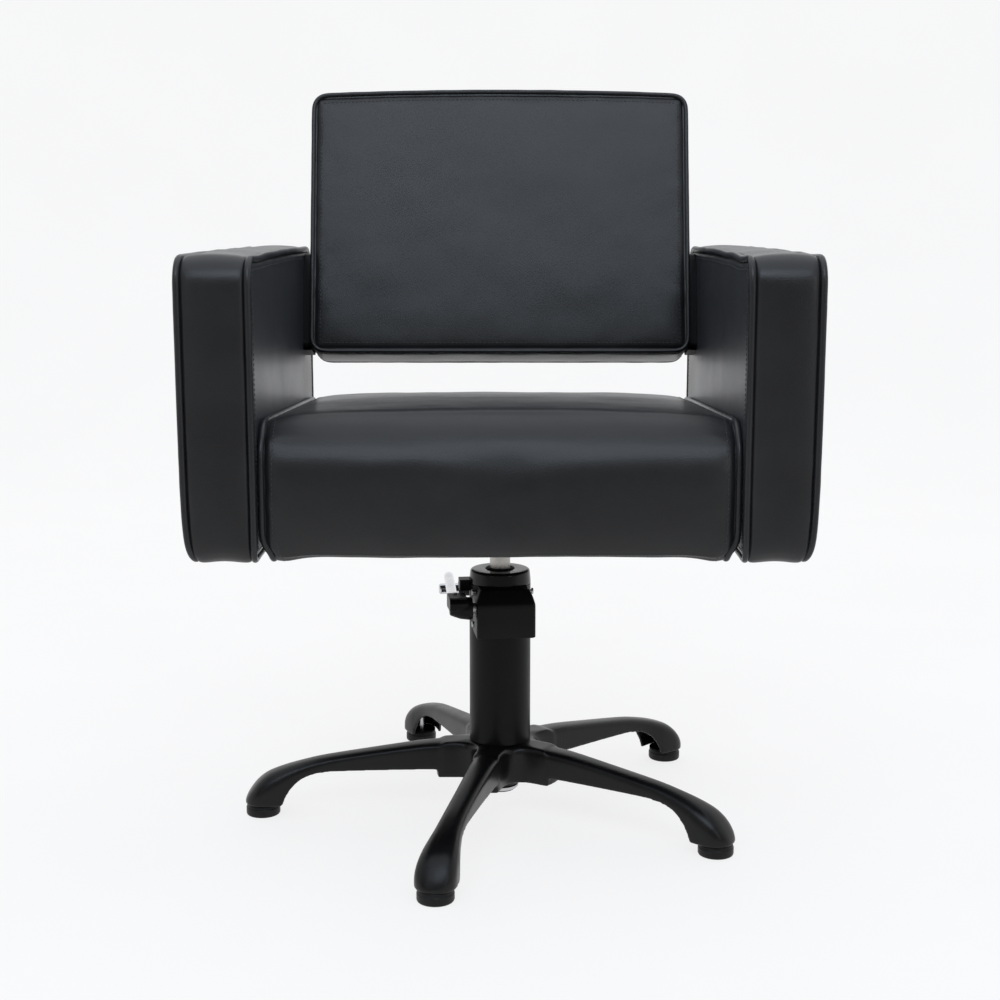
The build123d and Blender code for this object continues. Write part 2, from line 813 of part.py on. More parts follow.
for name, sign in sides.items():
    with BuildPart() as side_rail:
        with BuildSketch(Plane.XY.offset(frame_low_z)):
            with Locations((sign * (frame_half_x - frame_rail / 2), frame_mid_y)):
                Rectangle(frame_rail, frame_depth - 2 * frame_rail)
        extrude(amount=rail_h)
        with BuildSketch(side_span(sign, frame_half_x - frame_rail, frame_half_x)):
            with Locations(*arm_bolts_at):
                Circle(bolt_hole_r)
        extrude(amount=frame_rail, mode=Mode.SUBTRACT)
    save(side_rail, f"seat_rail_{name}")

    with BuildPart() as cross_rail:
        with BuildSketch(Plane.XY.offset(frame_low_z)):
            with Locations((sign * cross_rail_x, frame_mid_y)):
                Rectangle(cross_rail_w, frame_depth - 2 * frame_rail)
            with GridLocations(plate_bolt_pitch, plate_bolt_pitch, 2, 2):
                Circle(bolt_r, mode=Mode.SUBTRACT)
        extrude(amount=cross_rail_h)
    save(cross_rail, f"seat_cross_rail_{name}")

with BuildPart() as seat_board:
    with BuildSketch(Plane.XY.offset(frame_rail_z)):
        with Locations((0, frame_mid_y)):
            Rectangle(2 * frame_half_x, frame_depth)
    extrude(amount=frame_board_z - frame_rail_z)
save(seat_board, "seat_board")

# Cushion: padding and cover around the frame's front, back, sides and top.
with BuildPart() as seat_cushion:
    with BuildSketch(side_span(1, -seat_half_x, seat_half_x)) as seat_section:
        with BuildLine():
            Polyline(
                (seat_front_y, seat_front_top_z),
                (seat_back_y, seat_back_top_z),
                (seat_back_y, seat_low_z),
                (seat_front_y, seat_low_z),
                close=True,
            )
        make_face()
        fillet(seat_section.vertices().group_by(Axis.Y)[-1], seat_nose_r)
    extrude(amount=2 * seat_half_x)
    with BuildSketch(Plane.XY.offset(seat_low_z)):
        with Locations((0, frame_mid_y)):
            Rectangle(2 * frame_half_x, frame_depth)
    extrude(amount=frame_board_z - seat_low_z, mode=Mode.SUBTRACT)
    with BuildSketch(side_span(1, -seat_half_x, seat_half_x)):
        with Locations(*arm_bolts_at):
            Circle(bolt_hole_r)
    extrude(amount=2 * seat_half_x, mode=Mode.SUBTRACT)
save(seat_cushion, "seat_cushion")

with BuildPart() as seat_dust_cover:
    with BuildSketch(Plane.XY.offset(frame_low_z - dust_cover_t)):
        with Locations((0, frame_mid_y)):
            Rectangle(2 * frame_half_x, frame_depth)
        Rectangle(plate_size + dust_cover_t, plate_size + dust_cover_t, mode=Mode.SUBTRACT)
    extrude(amount=dust_cover_t)
save(seat_dust_cover, "seat_dust_cover")

# ---- arms ------------------------------------------------------------------------------

arm_mid_y = (arm_front_y + arm_back_y) / 2
arm_mid_z = (arm_low_z + arm_top_z) / 2
arm_depth = arm_back_y - arm_front_y
arm_height = arm_top_z - arm_low_z
core_depth = arm_depth - 2 * core_inset
core_height = arm_height - 2 * core_inset

for name, sign in sides.items():
    # Wooden ring inside the arm, drilled for its bolts, with recesses for the back bolts' heads
    with BuildPart() as arm_frame:
        with BuildSketch(side_span(sign, core_in_x, core_out_x)):
            with Locations((arm_mid_y, arm_mid_z)):
                Rectangle(core_depth, core_height)
                Rectangle(core_depth - 2 * core_rail, core_height - 2 * core_rail, mode=Mode.SUBTRACT)
            with Locations(*arm_bolts_at, *back_bolts_at):
                Circle(bolt_hole_r, mode=Mode.SUBTRACT)
        extrude(amount=core_out_x - core_in_x)
        with BuildSketch(side_span(sign, core_out_x - bolt_head_h, core_out_x)):
            with Locations(*back_bolts_at):
                Circle(bolt_head_r + fit_gap)
        extrude(amount=bolt_head_h, mode=Mode.SUBTRACT)
    save(arm_frame, f"{name}_arm_frame")

    # Padding and cover around it
    with BuildPart() as arm_pad:
        with BuildSketch(side_span(sign, arm_in_x, arm_out_x)):
            with Locations((arm_mid_y, arm_mid_z)):
                RectangleRounded(arm_depth, arm_height, arm_corner_r)
        extrude(amount=arm_out_x - arm_in_x)
        fillet(arm_pad.faces().filter_by(Axis.X).edges(), pad_edge_r)
        with BuildSketch(side_span(sign, core_in_x, core_out_x)):
            with Locations((arm_mid_y, arm_mid_z)):
                Rectangle(core_depth, core_height)
        extrude(amount=core_out_x - core_in_x, mode=Mode.SUBTRACT)
        with BuildSketch(side_span(sign, arm_in_x, core_in_x)):
            with Locations(*arm_bolts_at, *back_bolts_at):
                Circle(bolt_hole_r)
        extrude(amount=core_in_x - arm_in_x, mode=Mode.SUBTRACT)
    save(arm_pad, f"{name}_arm_pad")

# Bolts from inside the seat frame into the arms.
bolt_seat_x = frame_half_x - frame_rail
with BuildPart() as arm_bolts:
    for sign in sides.values():
        with BuildSketch(side_span(sign, bolt_seat_x, bolt_seat_x + arm_bolt_length)):
            with Locations(*arm_bolts_at):
                Circle(bolt_r)
        extrude(amount=arm_bolt_length)
        with BuildSketch(side_span(sign, bolt_seat_x - bolt_head_h, bolt_seat_x)):
            with Locations(*arm_bolts_at):
                Circle(bolt_head_r)
        extrude(amount=bolt_head_h)
save(arm_bolts, "arm_bolts")

# ---- back ------------------------------------------------------------------------------

back_half_w = back_width / 2
back_half_h = back_height / 2
with BuildPart() as back_cushion:
    with BuildSketch(back_plane) as back_outline:
        with BuildLine():
            Polyline(
                (-back_half_w, back_half_h),
                (-back_half_w, -back_half_h),
                (back_half_w, -back_half_h),
                (back_half_w, back_half_h),
            )
            ThreePointArc(
                (back_half_w, back_half_h),
                (0, back_half_h + back_crown),
                (-back_half_w, back_half_h),
            )
        make_face()
        fillet(back_outline.vertices(), back_corner_r)
    extrude(amount=-back_thick)
    fillet(back_cushion.faces().filter_by(back_plane).edges(), pad_edge_r)
    with BuildSketch(back_plane.offset(-back_core_front)):
        Rectangle(back_core_w, back_core_h)
    extrude(amount=-back_core_thick, mode=Mode.SUBTRACT)
    with BuildSketch(side_span(1, -back_half_w, back_half_w)):
        with Locations(*back_bolts_at):
            Circle(bolt_hole_r)
    extrude(amount=back_width, mode=Mode.SUBTRACT)
save(back_cushion, "back_cushion")

with BuildPart() as back_frame:
    with BuildSketch(back_plane.offset(-back_core_front)):
        Rectangle(back_core_w, back_core_h)
        Rectangle(back_core_w - 2 * back_core_rail, back_core_h - 2 * back_core_rail, mode=Mode.SUBTRACT)
    extrude(amount=-back_core_thick)
    for sign in sides.values():
        with BuildSketch(side_span(sign, back_core_w / 2 - bolt_depth, back_core_w / 2)):
            with Locations(*back_bolts_at):
                Circle(bolt_r)
        extrude(amount=bolt_depth, mode=Mode.SUBTRACT)
save(back_frame, "back_frame")

# Bolts from inside the arms into the back, and the steel side plates they pass through.
with BuildPart() as back_bolts:
    for sign in sides.values():
        with BuildSketch(side_span(sign, back_core_w / 2 - bolt_depth, core_out_x - bolt_head_h)):
            with Locations(*back_bolts_at):
                Circle(bolt_r)
        extrude(amount=core_out_x - bolt_head_h - back_core_w / 2 + bolt_depth)
        with BuildSketch(side_span(sign, core_out_x - bolt_head_h, core_out_x)):
            with Locations(*back_bolts_at):
                Circle(bolt_head_r)
        extrude(amount=bolt_head_h)
save(back_bolts, "back_bolts")

with BuildPart() as back_spacers:
    for sign in sides.values():
        with BuildSketch(side_span(sign, back_half_w, arm_in_x)):
            with Locations(back_bolt_centre(spacer_height)):
                RectangleRounded(spacer_w, spacer_h, spacer_corner_r, rotation=-back_lean)
            with Locations(*back_bolts_at):
                Circle(bolt_hole_r, mode=Mode.SUBTRACT)
        extrude(amount=arm_in_x - back_half_w)
save(back_spacers, "back_spacers")
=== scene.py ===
import json
import math

import bpy
import numpy as np
from mathutils import Matrix, Vector, noise
from mathutils.bvhtree import BVHTree
from mathutils.kdtree import KDTree


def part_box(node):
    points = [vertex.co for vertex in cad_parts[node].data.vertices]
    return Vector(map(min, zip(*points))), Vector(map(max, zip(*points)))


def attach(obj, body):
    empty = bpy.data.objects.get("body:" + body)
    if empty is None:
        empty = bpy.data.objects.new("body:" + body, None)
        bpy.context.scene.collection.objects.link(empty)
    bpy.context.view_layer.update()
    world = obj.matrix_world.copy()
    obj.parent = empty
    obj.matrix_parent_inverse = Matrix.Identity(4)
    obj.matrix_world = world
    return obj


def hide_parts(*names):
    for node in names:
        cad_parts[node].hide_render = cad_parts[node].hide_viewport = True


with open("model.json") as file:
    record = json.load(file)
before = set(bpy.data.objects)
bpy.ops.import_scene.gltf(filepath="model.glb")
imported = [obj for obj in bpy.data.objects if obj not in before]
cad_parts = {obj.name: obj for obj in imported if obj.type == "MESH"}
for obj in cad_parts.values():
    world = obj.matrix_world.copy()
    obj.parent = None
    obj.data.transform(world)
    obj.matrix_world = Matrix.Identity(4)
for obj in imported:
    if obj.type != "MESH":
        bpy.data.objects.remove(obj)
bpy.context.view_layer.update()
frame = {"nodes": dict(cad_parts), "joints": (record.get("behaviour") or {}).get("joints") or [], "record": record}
record = frame["record"]
nodes = frame["nodes"]
joints = {joint["name"]: joint for joint in frame["joints"]}


# ---- camera ----

LENS = 58.7
CAMERA_AWAY = 1.874
CAMERA_HEIGHT = 0.696
CAMERA_TILT = math.radians(80.28)


def add_camera():
    """A camera in front of the chair, a little over the arms, looking slightly down."""
    data = bpy.data.cameras.new("camera")
    data.sensor_width = 36.0
    data.lens = LENS
    data.clip_end = 100.0
    camera = bpy.data.objects.new("camera", data)
    camera.location = (0.0, -CAMERA_AWAY, CAMERA_HEIGHT)
    camera.rotation_euler = (CAMERA_TILT, 0.0, 0.0)
    bpy.context.scene.collection.objects.link(camera)
    bpy.context.scene.camera = camera


# ---- mesh helpers ----

def new_piece(name, verts, faces):
    """A mesh object in the scene, in metres."""
    mesh = bpy.data.meshes.new(name)
    mesh.from_pydata([tuple(v) for v in verts], [], faces)
    mesh.validate()
    mesh.update()
    mesh.polygons.foreach_set("use_smooth", [True] * len(mesh.polygons))
    piece = bpy.data.objects.new(name, mesh)
    bpy.context.scene.collection.objects.link(piece)
    return piece


def apply_modifiers(piece):
    """Makes the piece's modifiers part of its mesh."""
    graph = bpy.context.evaluated_depsgraph_get()
    mesh = bpy.data.meshes.new_from_object(piece.evaluated_get(graph))
    piece.modifiers.clear()
    old = piece.data
    piece.data = mesh
    bpy.data.meshes.remove(old)
    return piece


def subdivide(piece):
    """One level of Catmull-Clark subdivision, made part of the mesh."""
    modifier = piece.modifiers.new("subdivide", "SUBSURF")
    modifier.levels = 1
    modifier.render_levels = 1
    return apply_modifiers(piece)


def point_values(piece, field):
    """A three-part value of every point of the mesh, as an array."""
    found = np.empty(len(piece.data.vertices) * 3)
    piece.data.vertices.foreach_get(field, found)
    return found.reshape(-1, 3)


def coords(piece):
    return point_values(piece, "co")


def set_coords(piece, points):
    piece.data.vertices.foreach_set("co", np.asarray(points, float).ravel())
    piece.data.update()


def normals(piece):
    return point_values(piece, "normal")


def closed_tube(name, points, radii, sides):
    """A round tube along a closed run of points, with one radius per point."""
    count = len(points)
    points = [Vector(p) for p in points]
    tangents = [(points[(i + 1) % count] - points[i - 1]).normalized() for i in range(count)]
    side = tangents[0].orthogonal().normalized()
    verts = []
    for point, tangent, radius in zip(points, tangents, radii):
        side = (side - tangent * side.dot(tangent)).normalized()
        other = tangent.cross(side)
        for turn in range(sides):
            angle = math.tau * turn / sides
            verts.append(point + (side * math.cos(angle) + other * math.sin(angle)) * radius)
    last = verts[(count - 1) * sides] - points[-1]
    distances = [(last - (verts[turn] - points[0])).length for turn in range(sides)]
    shift = distances.index(min(distances))
    faces = []
    for index in range(count):
        here, there = index * sides, (index + 1) % count * sides
        extra = 0 if there else shift
        for turn in range(sides):
            after = (turn + 1) % sides
            ahead = there + (after + extra) % sides, there + (turn + extra) % sides
            faces.append((here + turn, here + after, *ahead))
    return new_piece(name, verts, faces)


def turned_rings(profile, centre, sides):
    """A ring of points for each (radius, height) of the profile."""
    turns = [math.tau * turn / sides for turn in range(sides)]
    return [
        [Vector((radius * math.cos(a), radius * math.sin(a), height)) + Vector(centre) for a in turns]
        for radius, height in profile
    ]


def loft(sections, capped=True, closed=True):
    """Verts and quads through sections of equal length, with or without caps at both ends."""
    count = len(sections[0])
    verts = [point for section in sections for point in section]
    faces = []
    for low in range(0, len(verts) - count, count):
        for turn in range(count if closed else count - 1):
            after = (turn + 1) % count
            faces.append((low + turn, low + after, low + count + after, low + count + turn))
    if capped:
        faces.append(tuple(reversed(range(count))))
        faces.append(tuple(range(len(verts) - count, len(verts))))
    return verts, faces


def flatten_caps(piece):
    """Shades large flat ends flat and the rest smooth."""
    shades = [len(face.vertices) <= 4 for face in piece.data.polygons]
    piece.data.polygons.foreach_set("use_smooth", shades)


def merge_meshes(name, parts):
    """One mesh object from several (verts, faces)."""
    verts, faces = [], []
    for some_verts, some_faces in parts:
        base = len(verts)
        verts += list(some_verts)
        faces += [tuple(base + index for index in face) for face in some_faces]
    return new_piece(name, verts, faces)


def rounded(points, radius, steps):
    """A (radius, height) profile with its inner corners rounded."""
    out = [points[0]]
    for before, corner, after in zip(points, points[1:], points[2:]):
        p, c, n = (np.array(v, float) for v in (before, corner, after))
        reach = min(radius, np.linalg.norm(p - c) * 0.45, np.linalg.norm(n - c) * 0.45)
        start = c + (p - c) / np.linalg.norm(p - c) * reach
        end = c + (n - c) / np.linalg.norm(n - c) * reach
        for step in range(steps + 1):
            t = step / steps
            out.append(tuple((1 - t) ** 2 * start + 2 * t * (1 - t) * c + t * t * end))
    out.append(points[-1])
    return out


# ---- materials ----

MIX_SOCKETS = {"fac": 0, "a": 6, "b": 7, "out": 2}


class Look:
    """A Principled material, with short ways to add nodes that work in object space."""

    def __init__(self, name, color, roughness, metallic=0.0, specular=0.5):
        self.made = bpy.data.materials.new(name)
        self.made.use_nodes = True
        self.tree = self.made.node_tree
        self.place = self.tree.nodes.new("ShaderNodeTexCoord").outputs["Object"]
        self.surface({
            "Base Color": (*color, 1.0), "Roughness": roughness,
            "Metallic": metallic, "Specular IOR Level": specular,
        })

    def fill(self, node, inputs):
        """Sets each input to a value, or links it to another node's output."""
        for name, value in inputs.items():
            if isinstance(value, bpy.types.NodeSocket):
                self.tree.links.new(value, node.inputs[name])
            else:
                node.inputs[name].default_value = value
        return node

    def surface(self, inputs):
        self.fill(self.tree.nodes["Principled BSDF"], inputs)

    def node(self, kind, inputs):
        return self.fill(self.tree.nodes.new("ShaderNode" + kind), inputs)

    def noise(self, scale, detail=4.0, roughness=0.55, stretch=None):
        """Noise; stretch scales its axes."""
        place = self.place
        if stretch:
            place = self.node("Mapping", {"Scale": stretch, "Vector": place}).outputs["Vector"]
        inputs = {"Scale": scale, "Detail": detail, "Roughness": roughness, "Vector": place}
        return self.node("TexNoise", inputs).outputs["Fac"]

    def cells(self, scale, feature="F1"):
        """Distances within a pattern of cells."""
        made = self.node("TexVoronoi", {"Scale": scale, "Vector": self.place})
        made.feature = feature
        return made.outputs["Distance"]

    def ramp(self, value, low, high, start=0.35, end=0.65):
        """Colours from low to high as value goes from start to end."""
        made = self.node("ValToRGB", {"Fac": value})
        for stop, place, color in zip(made.color_ramp.elements, (start, end), (low, high)):
            stop.position = place
            stop.color = (*color, 1.0)
        return made.outputs["Color"]

    def spread(self, value, low, high, start=0.3, end=0.7):
        """Maps value from start..end to low..high."""
        inputs = {"Value": value, "From Min": start, "From Max": end, "To Min": low, "To Max": high}
        return self.node("MapRange", inputs).outputs["Result"]

    def combine(self, operation, a, b):
        """Adds, subtracts or multiplies two values."""
        made = self.node("Math", {0: a, 1: b})
        made.operation = operation
        return made.outputs["Value"]

    def mix(self, fac, a, b, blend="MIX"):
        """Mixes two colours."""
        made = self.tree.nodes.new("ShaderNodeMix")
        made.data_type = "RGBA"
        made.blend_type = blend
        self.fill(made, {MIX_SOCKETS["fac"]: fac, MIX_SOCKETS["a"]: a, MIX_SOCKETS["b"]: b})
        return made.outputs[MIX_SOCKETS["out"]]

    def bump(self, height, distance, strength):
        """Raises the surface by height, at most by distance."""
        made = self.node("Bump", {"Distance": distance, "Strength": strength, "Height": height})
        self.surface({"Normal": made.outputs["Normal"]})


def leatherette():
    """Black vinyl leather: pebble grain, fine pores, mottled sheen, worn seams."""
    dark, light, rubbed = (0.0040, 0.0041, 0.0044), (0.0085, 0.0087, 0.0092), (0.020, 0.021, 0.023, 1.0)
    look = Look("leatherette", dark, 0.44, specular=0.34)
    mottle = look.noise(9.0, 5.0, 0.6)
    grain = look.cells(820.0)
    pores = look.noise(2300.0, 2.0)
    creases = look.cells(300.0, "DISTANCE_TO_EDGE")
    seams = look.node("Attribute", {})
    seams.attribute_name = "wear"
    wear = seams.outputs["Fac"]
    worn = look.mix(look.combine("MULTIPLY", wear, 0.55), look.ramp(mottle, dark, light, 0.3, 0.72), rubbed)
    valleys = look.spread(grain, 1.0, 0.72, 0.25, 0.75)
    rough = look.combine("ADD", look.spread(mottle, 0.30, 0.37), look.spread(grain, 0.0, 0.05))
    height = look.combine("ADD", grain, look.combine("MULTIPLY", pores, 0.45))
    height = look.combine("ADD", height, look.spread(creases, -0.35, 0.0, 0.0, 0.08))
    look.bump(height, 0.00016, 0.55)
    look.surface({
        "Base Color": look.mix(0.35, worn, valleys, "MULTIPLY"),
        "Roughness": look.combine("SUBTRACT", rough, look.combine("MULTIPLY", wear, 0.07)),
        "Coat Weight": 0.08, "Coat Roughness": 0.18,
        "Sheen Weight": 0.03, "Sheen Roughness": 0.45, "Sheen Tint": (0.75, 0.82, 1.0, 1.0),
    })
    return look.made


def thread():
    """Grey-black twisted sewing thread."""
    look = Look("thread", (0.022, 0.022, 0.024), 0.55, specular=0.3)
    twist = look.noise(2600.0, 2.0, stretch=(1.0, 2.2, 0.6))
    look.bump(twist, 0.0001, 0.6)
    look.surface({
        "Base Color": look.ramp(twist, (0.010, 0.010, 0.011), (0.045, 0.046, 0.050)), "Sheen Weight": 0.1,
    })
    return look.made


def coated_metal(name, color, roughness, speckle=1500.0, wave=0.00006, coat=0.0, specular=0.12):
    """Painted or powder-coated metal: orange peel, a cloudy tone and dust."""
    look = Look(name, color, roughness, specular=specular)
    cloud = look.noise(14.0)
    dust = look.noise(160.0, 6.0, 0.7)
    lifted = tuple(channel * 1.5 + 0.001 for channel in color)
    base = look.ramp(cloud, color, lifted, 0.35, 0.8)
    look.bump(look.noise(speckle, 2.0), wave, 0.6)
    look.surface({
        "Base Color": look.mix(look.spread(dust, 0.0, 0.22, 0.55, 0.8), base, (0.020, 0.020, 0.019, 1.0)),
        "Roughness": look.spread(cloud, roughness - 0.05, roughness + 0.08),
        "Coat Weight": coat, "Coat Roughness": 0.12,
    })
    return look.made


def turned_metal(name, color, roughness):
    """Ground or turned metal: fine lines round it, with light smears of oil."""
    look = Look(name, color, roughness, metallic=1.0)
    lines = look.noise(40.0, 5.0, 0.7, (1.0, 1.0, 60.0))
    darker = tuple(channel * 0.72 for channel in color)
    look.bump(lines, 0.00004, 0.5)
    look.surface({
        "Base Color": look.ramp(lines, darker, color, 0.3, 0.7),
        "Roughness": look.spread(look.noise(30.0), roughness - 0.07, roughness + 0.10),
    })
    return look.made


def chrome():
    """Bright chrome plate, faintly hazed and pitted."""
    look = Look("chrome", (0.66, 0.66, 0.68), 0.09, metallic=1.0)
    haze = look.noise(60.0, 5.0)
    look.bump(look.noise(900.0, 3.0), 0.00002, 0.25)
    look.surface({
        "Base Color": look.ramp(haze, (0.56, 0.56, 0.59), (0.70, 0.70, 0.72)),
        "Roughness": look.spread(haze, 0.05, 0.15),
    })
    return look.made


def rubber(name, color=(0.008, 0.008, 0.008), roughness=0.62):
    """Moulded rubber with a fine matte skin and scuffs."""
    look = Look(name, color, roughness, specular=0.2)
    scuff = look.noise(70.0, 6.0, 0.7)
    look.bump(look.noise(1800.0, 3.0), 0.00008, 0.6)
    look.surface({
        "Base Color": look.ramp(scuff, color, (0.020, 0.020, 0.019), 0.5, 0.85),
        "Roughness": look.spread(scuff, roughness - 0.08, roughness + 0.12),
    })
    return look.made


def dust_cloth():
    """Non-woven black cloth: pressed dots and loose fibres."""
    look = Look("dust_cloth", (0.014, 0.014, 0.014), 0.95)
    fibres = look.noise(700.0, 6.0, 0.8, (1.0, 3.0, 1.0))
    look.bump(look.combine("ADD", look.cells(520.0), fibres), 0.0003, 0.7)
    color = look.ramp(fibres, (0.010, 0.010, 0.010), (0.032, 0.032, 0.032))
    look.surface({"Base Color": color, "Sheen Weight": 0.25})
    return look.made


def raw_wood():
    """Beech, with its grain drawn out along the frame."""
    look = Look("frame_wood", (0.55, 0.42, 0.28), 0.7)
    grain = look.noise(24.0, 8.0, 0.7, (1.0, 1.0, 9.0))
    look.bump(grain, 0.0003, 0.5)
    look.surface({"Base Color": look.ramp(grain, (0.38, 0.26, 0.15), (0.62, 0.48, 0.32))})
    return look.made


MATERIALS = {
    "upholstery": leatherette(),
    "dust_cloth": dust_cloth(),
    "frame_wood": raw_wood(),
    "black_casting": coated_metal(
        "satin_casting", (0.0022, 0.0022, 0.0025), 0.31, 900.0, 0.00008, specular=0.25,
    ),
    "black_steel": coated_metal("black_steel", (0.0030, 0.0030, 0.0028), 0.36, 1300.0, 0.00004),
    "gloss_black": coated_metal("gloss_black", (0.0022, 0.0022, 0.0021), 0.16, 1200.0, 0.00002, 0.05, 0.2),
    "cover_black": coated_metal("cover_black", (0.0048, 0.0048, 0.0043), 0.42, 1900.0, 0.00012),
    "ram_steel": turned_metal("ram_steel", (0.47, 0.45, 0.42), 0.30),
    "plain_steel": turned_metal("plain_steel", (0.42, 0.42, 0.42), 0.36),
    "zinc_steel": turned_metal("zinc_steel", (0.62, 0.62, 0.64), 0.30),
    "bronze": turned_metal("bronze", (0.52, 0.36, 0.18), 0.38),
    "chrome": chrome(),
    "black_rubber": rubber("black_rubber"),
    "glide_rubber": rubber("glide_rubber", (0.005, 0.005, 0.005), 0.42),
}
THREAD = thread()


def finish_piece(piece, slot, body, *replaced, made=None):
    """Gives a new piece the material of its slot, attaches it to its body and hides the CAD nodes that it stands
    for.
    """
    piece.data.materials.clear()
    piece.data.materials.append(made or MATERIALS[slot])
    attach(piece, body)
    if replaced:
        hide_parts(*replaced)
    return piece


def dress_cad_nodes():
    """Every CAD node that stays gets the material of its slot."""
    for entry in record["subparts"]:
        mesh = nodes[entry["node"]].data
        mesh.materials.clear()
        mesh.materials.append(MATERIALS[entry["material_slot"]])



# ---- upholstery ----

SEAM_ROWS = [0.0, 0.0020, 0.0040, 0.0056, 0.0072, 0.0092, 0.013, 0.019, 0.028]
GROOVE_AT = 0.0058
GROOVE_W = 0.0013
ROW_PITCH = 0.011
PIPING_R = 0.0035
FRAMES = 20
CORD_SINK = 1.5
CORD_WEAR = 0.55
SWELL_FADE = 0.014
CURVE_PITCH = 0.0025
EVENING = 10
STITCH_LENGTH = 0.0036
STITCH_GAP = 0.0014
THREAD_R = 0.0004
# How a stitch rises out of the leather: share of its length, share of its thickness, height in thread radii
STITCH_PROFILE = [(0.0, 0.35, -0.9), (0.12, 1.0, 0.1), (0.5, 1.0, 0.55), (0.88, 1.0, 0.1), (1.0, 0.35, -0.9)]
THREAD_SIDES = 6


def rows(low, high, pitch=ROW_PITCH, edge=SEAM_ROWS):
    """Positions from low to high, close together at both ends and pitch apart between."""
    start, end = low + edge[-1], high - edge[-1]
    count = max(2, round((end - start) / pitch))
    middle = [start + (end - start) * step / count for step in range(1, count)]
    return [low + step for step in edge] + middle + [high - step for step in reversed(edge)]


def lattice(us, vs, ws):
    """The skin of a box of cells: its (u, v, w) points, its quads and its two seam loops."""
    nu, nv, nw = len(us) - 1, len(vs) - 1, len(ws) - 1
    found, quads = {}, []

    def corner(*key):
        return found.setdefault(key, len(found))

    # Each pair of faces: its cell counts, the axis across it, the face turned out and the one turned over
    for wide, high, axis, front, rear in ((nu, nv, 2, nw, 0), (nu, nw, 1, 0, nv), (nv, nw, 0, nu, 0)):
        for i in range(wide):
            for j in range(high):
                ring = [(i, j), (i + 1, j), (i + 1, j + 1), (i, j + 1)]
                for end, order in ((front, ring), (rear, ring[::-1])):
                    quads.append([corner(*spot[:axis], end, *spot[axis:]) for spot in order])
    around = [(i, 0) for i in range(nu)] + [(nu, j) for j in range(nv)]
    around += [(i, nv) for i in range(nu, 0, -1)] + [(0, j) for j in range(nv, 0, -1)]
    loops = [[corner(i, j, k) for i, j in around] for k in (0, nw)]
    keys = np.array(list(found))
    points = np.column_stack([
        np.array(us)[keys[:, 0]], np.array(vs)[keys[:, 1]], np.array(ws)[keys[:, 2]]
    ])
    return points, quads, loops


def seam_distance(points, lows, highs):
    """How far each lattice point is from the nearest seam, along the skin."""
    u, v, w = points.T
    in_outline = np.minimum.reduce([u - lows[0], highs[0] - u, v - lows[1], highs[1] - v])
    across = np.minimum(w - lows[2], highs[2] - w)
    return np.maximum(in_outline, across)


def round_corners(points, lows, highs, radii):
    """Rounds the outline's four corners; radii is keyed by (u side, v side), 0 low, 1 high."""
    out = points.copy()
    for (side_u, side_v), radius in radii.items():
        sign_u, sign_v = 2 * side_u - 1, 2 * side_v - 1
        centre_u = (highs[0] if side_u else lows[0]) - sign_u * radius
        centre_v = (highs[1] if side_v else lows[1]) - sign_v * radius
        p = sign_u * (points[:, 0] - centre_u) / radius
        q = sign_v * (points[:, 1] - centre_v) / radius
        near = (p > 0) & (q > 0)
        p, q = p[near], q[near]
        out[near, 0] = centre_u + sign_u * radius * p * np.sqrt(1 - q * q / 2)
        out[near, 1] = centre_v + sign_v * radius * q * np.sqrt(1 - p * p / 2)
    return out


def neighbour_mean(piece, values):
    """For each point of the mesh, the mean of a value over the points joined to it."""
    edges = np.empty(len(piece.data.edges) * 2, int)
    piece.data.edges.foreach_get("vertices", edges)
    a, b = edges.reshape(-1, 2).T
    count = len(values)
    degree = np.bincount(a, minlength=count) + np.bincount(b, minlength=count)
    sums = [
        np.bincount(a, column[b], count) + np.bincount(b, column[a], count) for column in values.T
    ]
    return np.column_stack(sums) / degree[:, None]


def evened(piece, values, rounds):
    """Averages a value with its neighbours' over the mesh."""
    for _ in range(rounds):
        values = 0.5 * values + 0.5 * neighbour_mean(piece, values)
    return values


def swell(piece, pinned, distance, pressure, slack, cap):
    """Blows the cover out with Blender's cloth, its seams held, and fades that out near them."""
    rest = coords(piece)
    group = piece.vertex_groups.new(name="seams")
    group.add([int(index) for index in pinned], 1.0, "REPLACE")
    cloth = piece.modifiers.new("cloth", "CLOTH")
    settings = cloth.settings
    settings.quality = 6
    settings.mass = 0.3
    settings.tension_stiffness = settings.compression_stiffness = 25.0
    settings.shear_stiffness = 12.0
    settings.bending_stiffness = 0.8
    settings.tension_damping = 10.0
    settings.bending_damping = 1.0
    settings.vertex_group_mass = "seams"
    settings.use_pressure = True
    settings.uniform_pressure_force = pressure
    settings.shrink_min = -slack
    settings.effector_weights.gravity = 0.0
    cloth.collision_settings.use_collision = False
    cloth.point_cache.frame_start = 1
    cloth.point_cache.frame_end = FRAMES
    scene = bpy.context.scene
    for step in range(1, FRAMES + 1):
        scene.frame_set(step)
    graph = bpy.context.evaluated_depsgraph_get()
    blown = piece.evaluated_get(graph).data
    moved = np.empty(len(blown.vertices) * 3)
    blown.vertices.foreach_get("co", moved)
    step = evened(piece, moved.reshape(-1, 3) - rest, EVENING)
    piece.modifiers.clear()
    piece.vertex_groups.clear()
    scene.frame_set(1)
    length = np.linalg.norm(step, axis=1, keepdims=True) + 1e-9
    free = (1 - np.exp(-distance / SWELL_FADE))[:, None]
    set_coords(piece, rest + step * free * (cap * np.tanh(length / cap) / length))


def between(p0, p1, p2, p3, t):
    """A Catmull-Rom curve's point from p1 to p2, at t from 0 to 1."""
    square = (2 * p0 - 5 * p1 + 4 * p2 - p3) * t * t
    return 0.5 * (2 * p1 + (p2 - p0) * t + square + (3 * p1 - p0 - 3 * p2 + p3) * t ** 3)


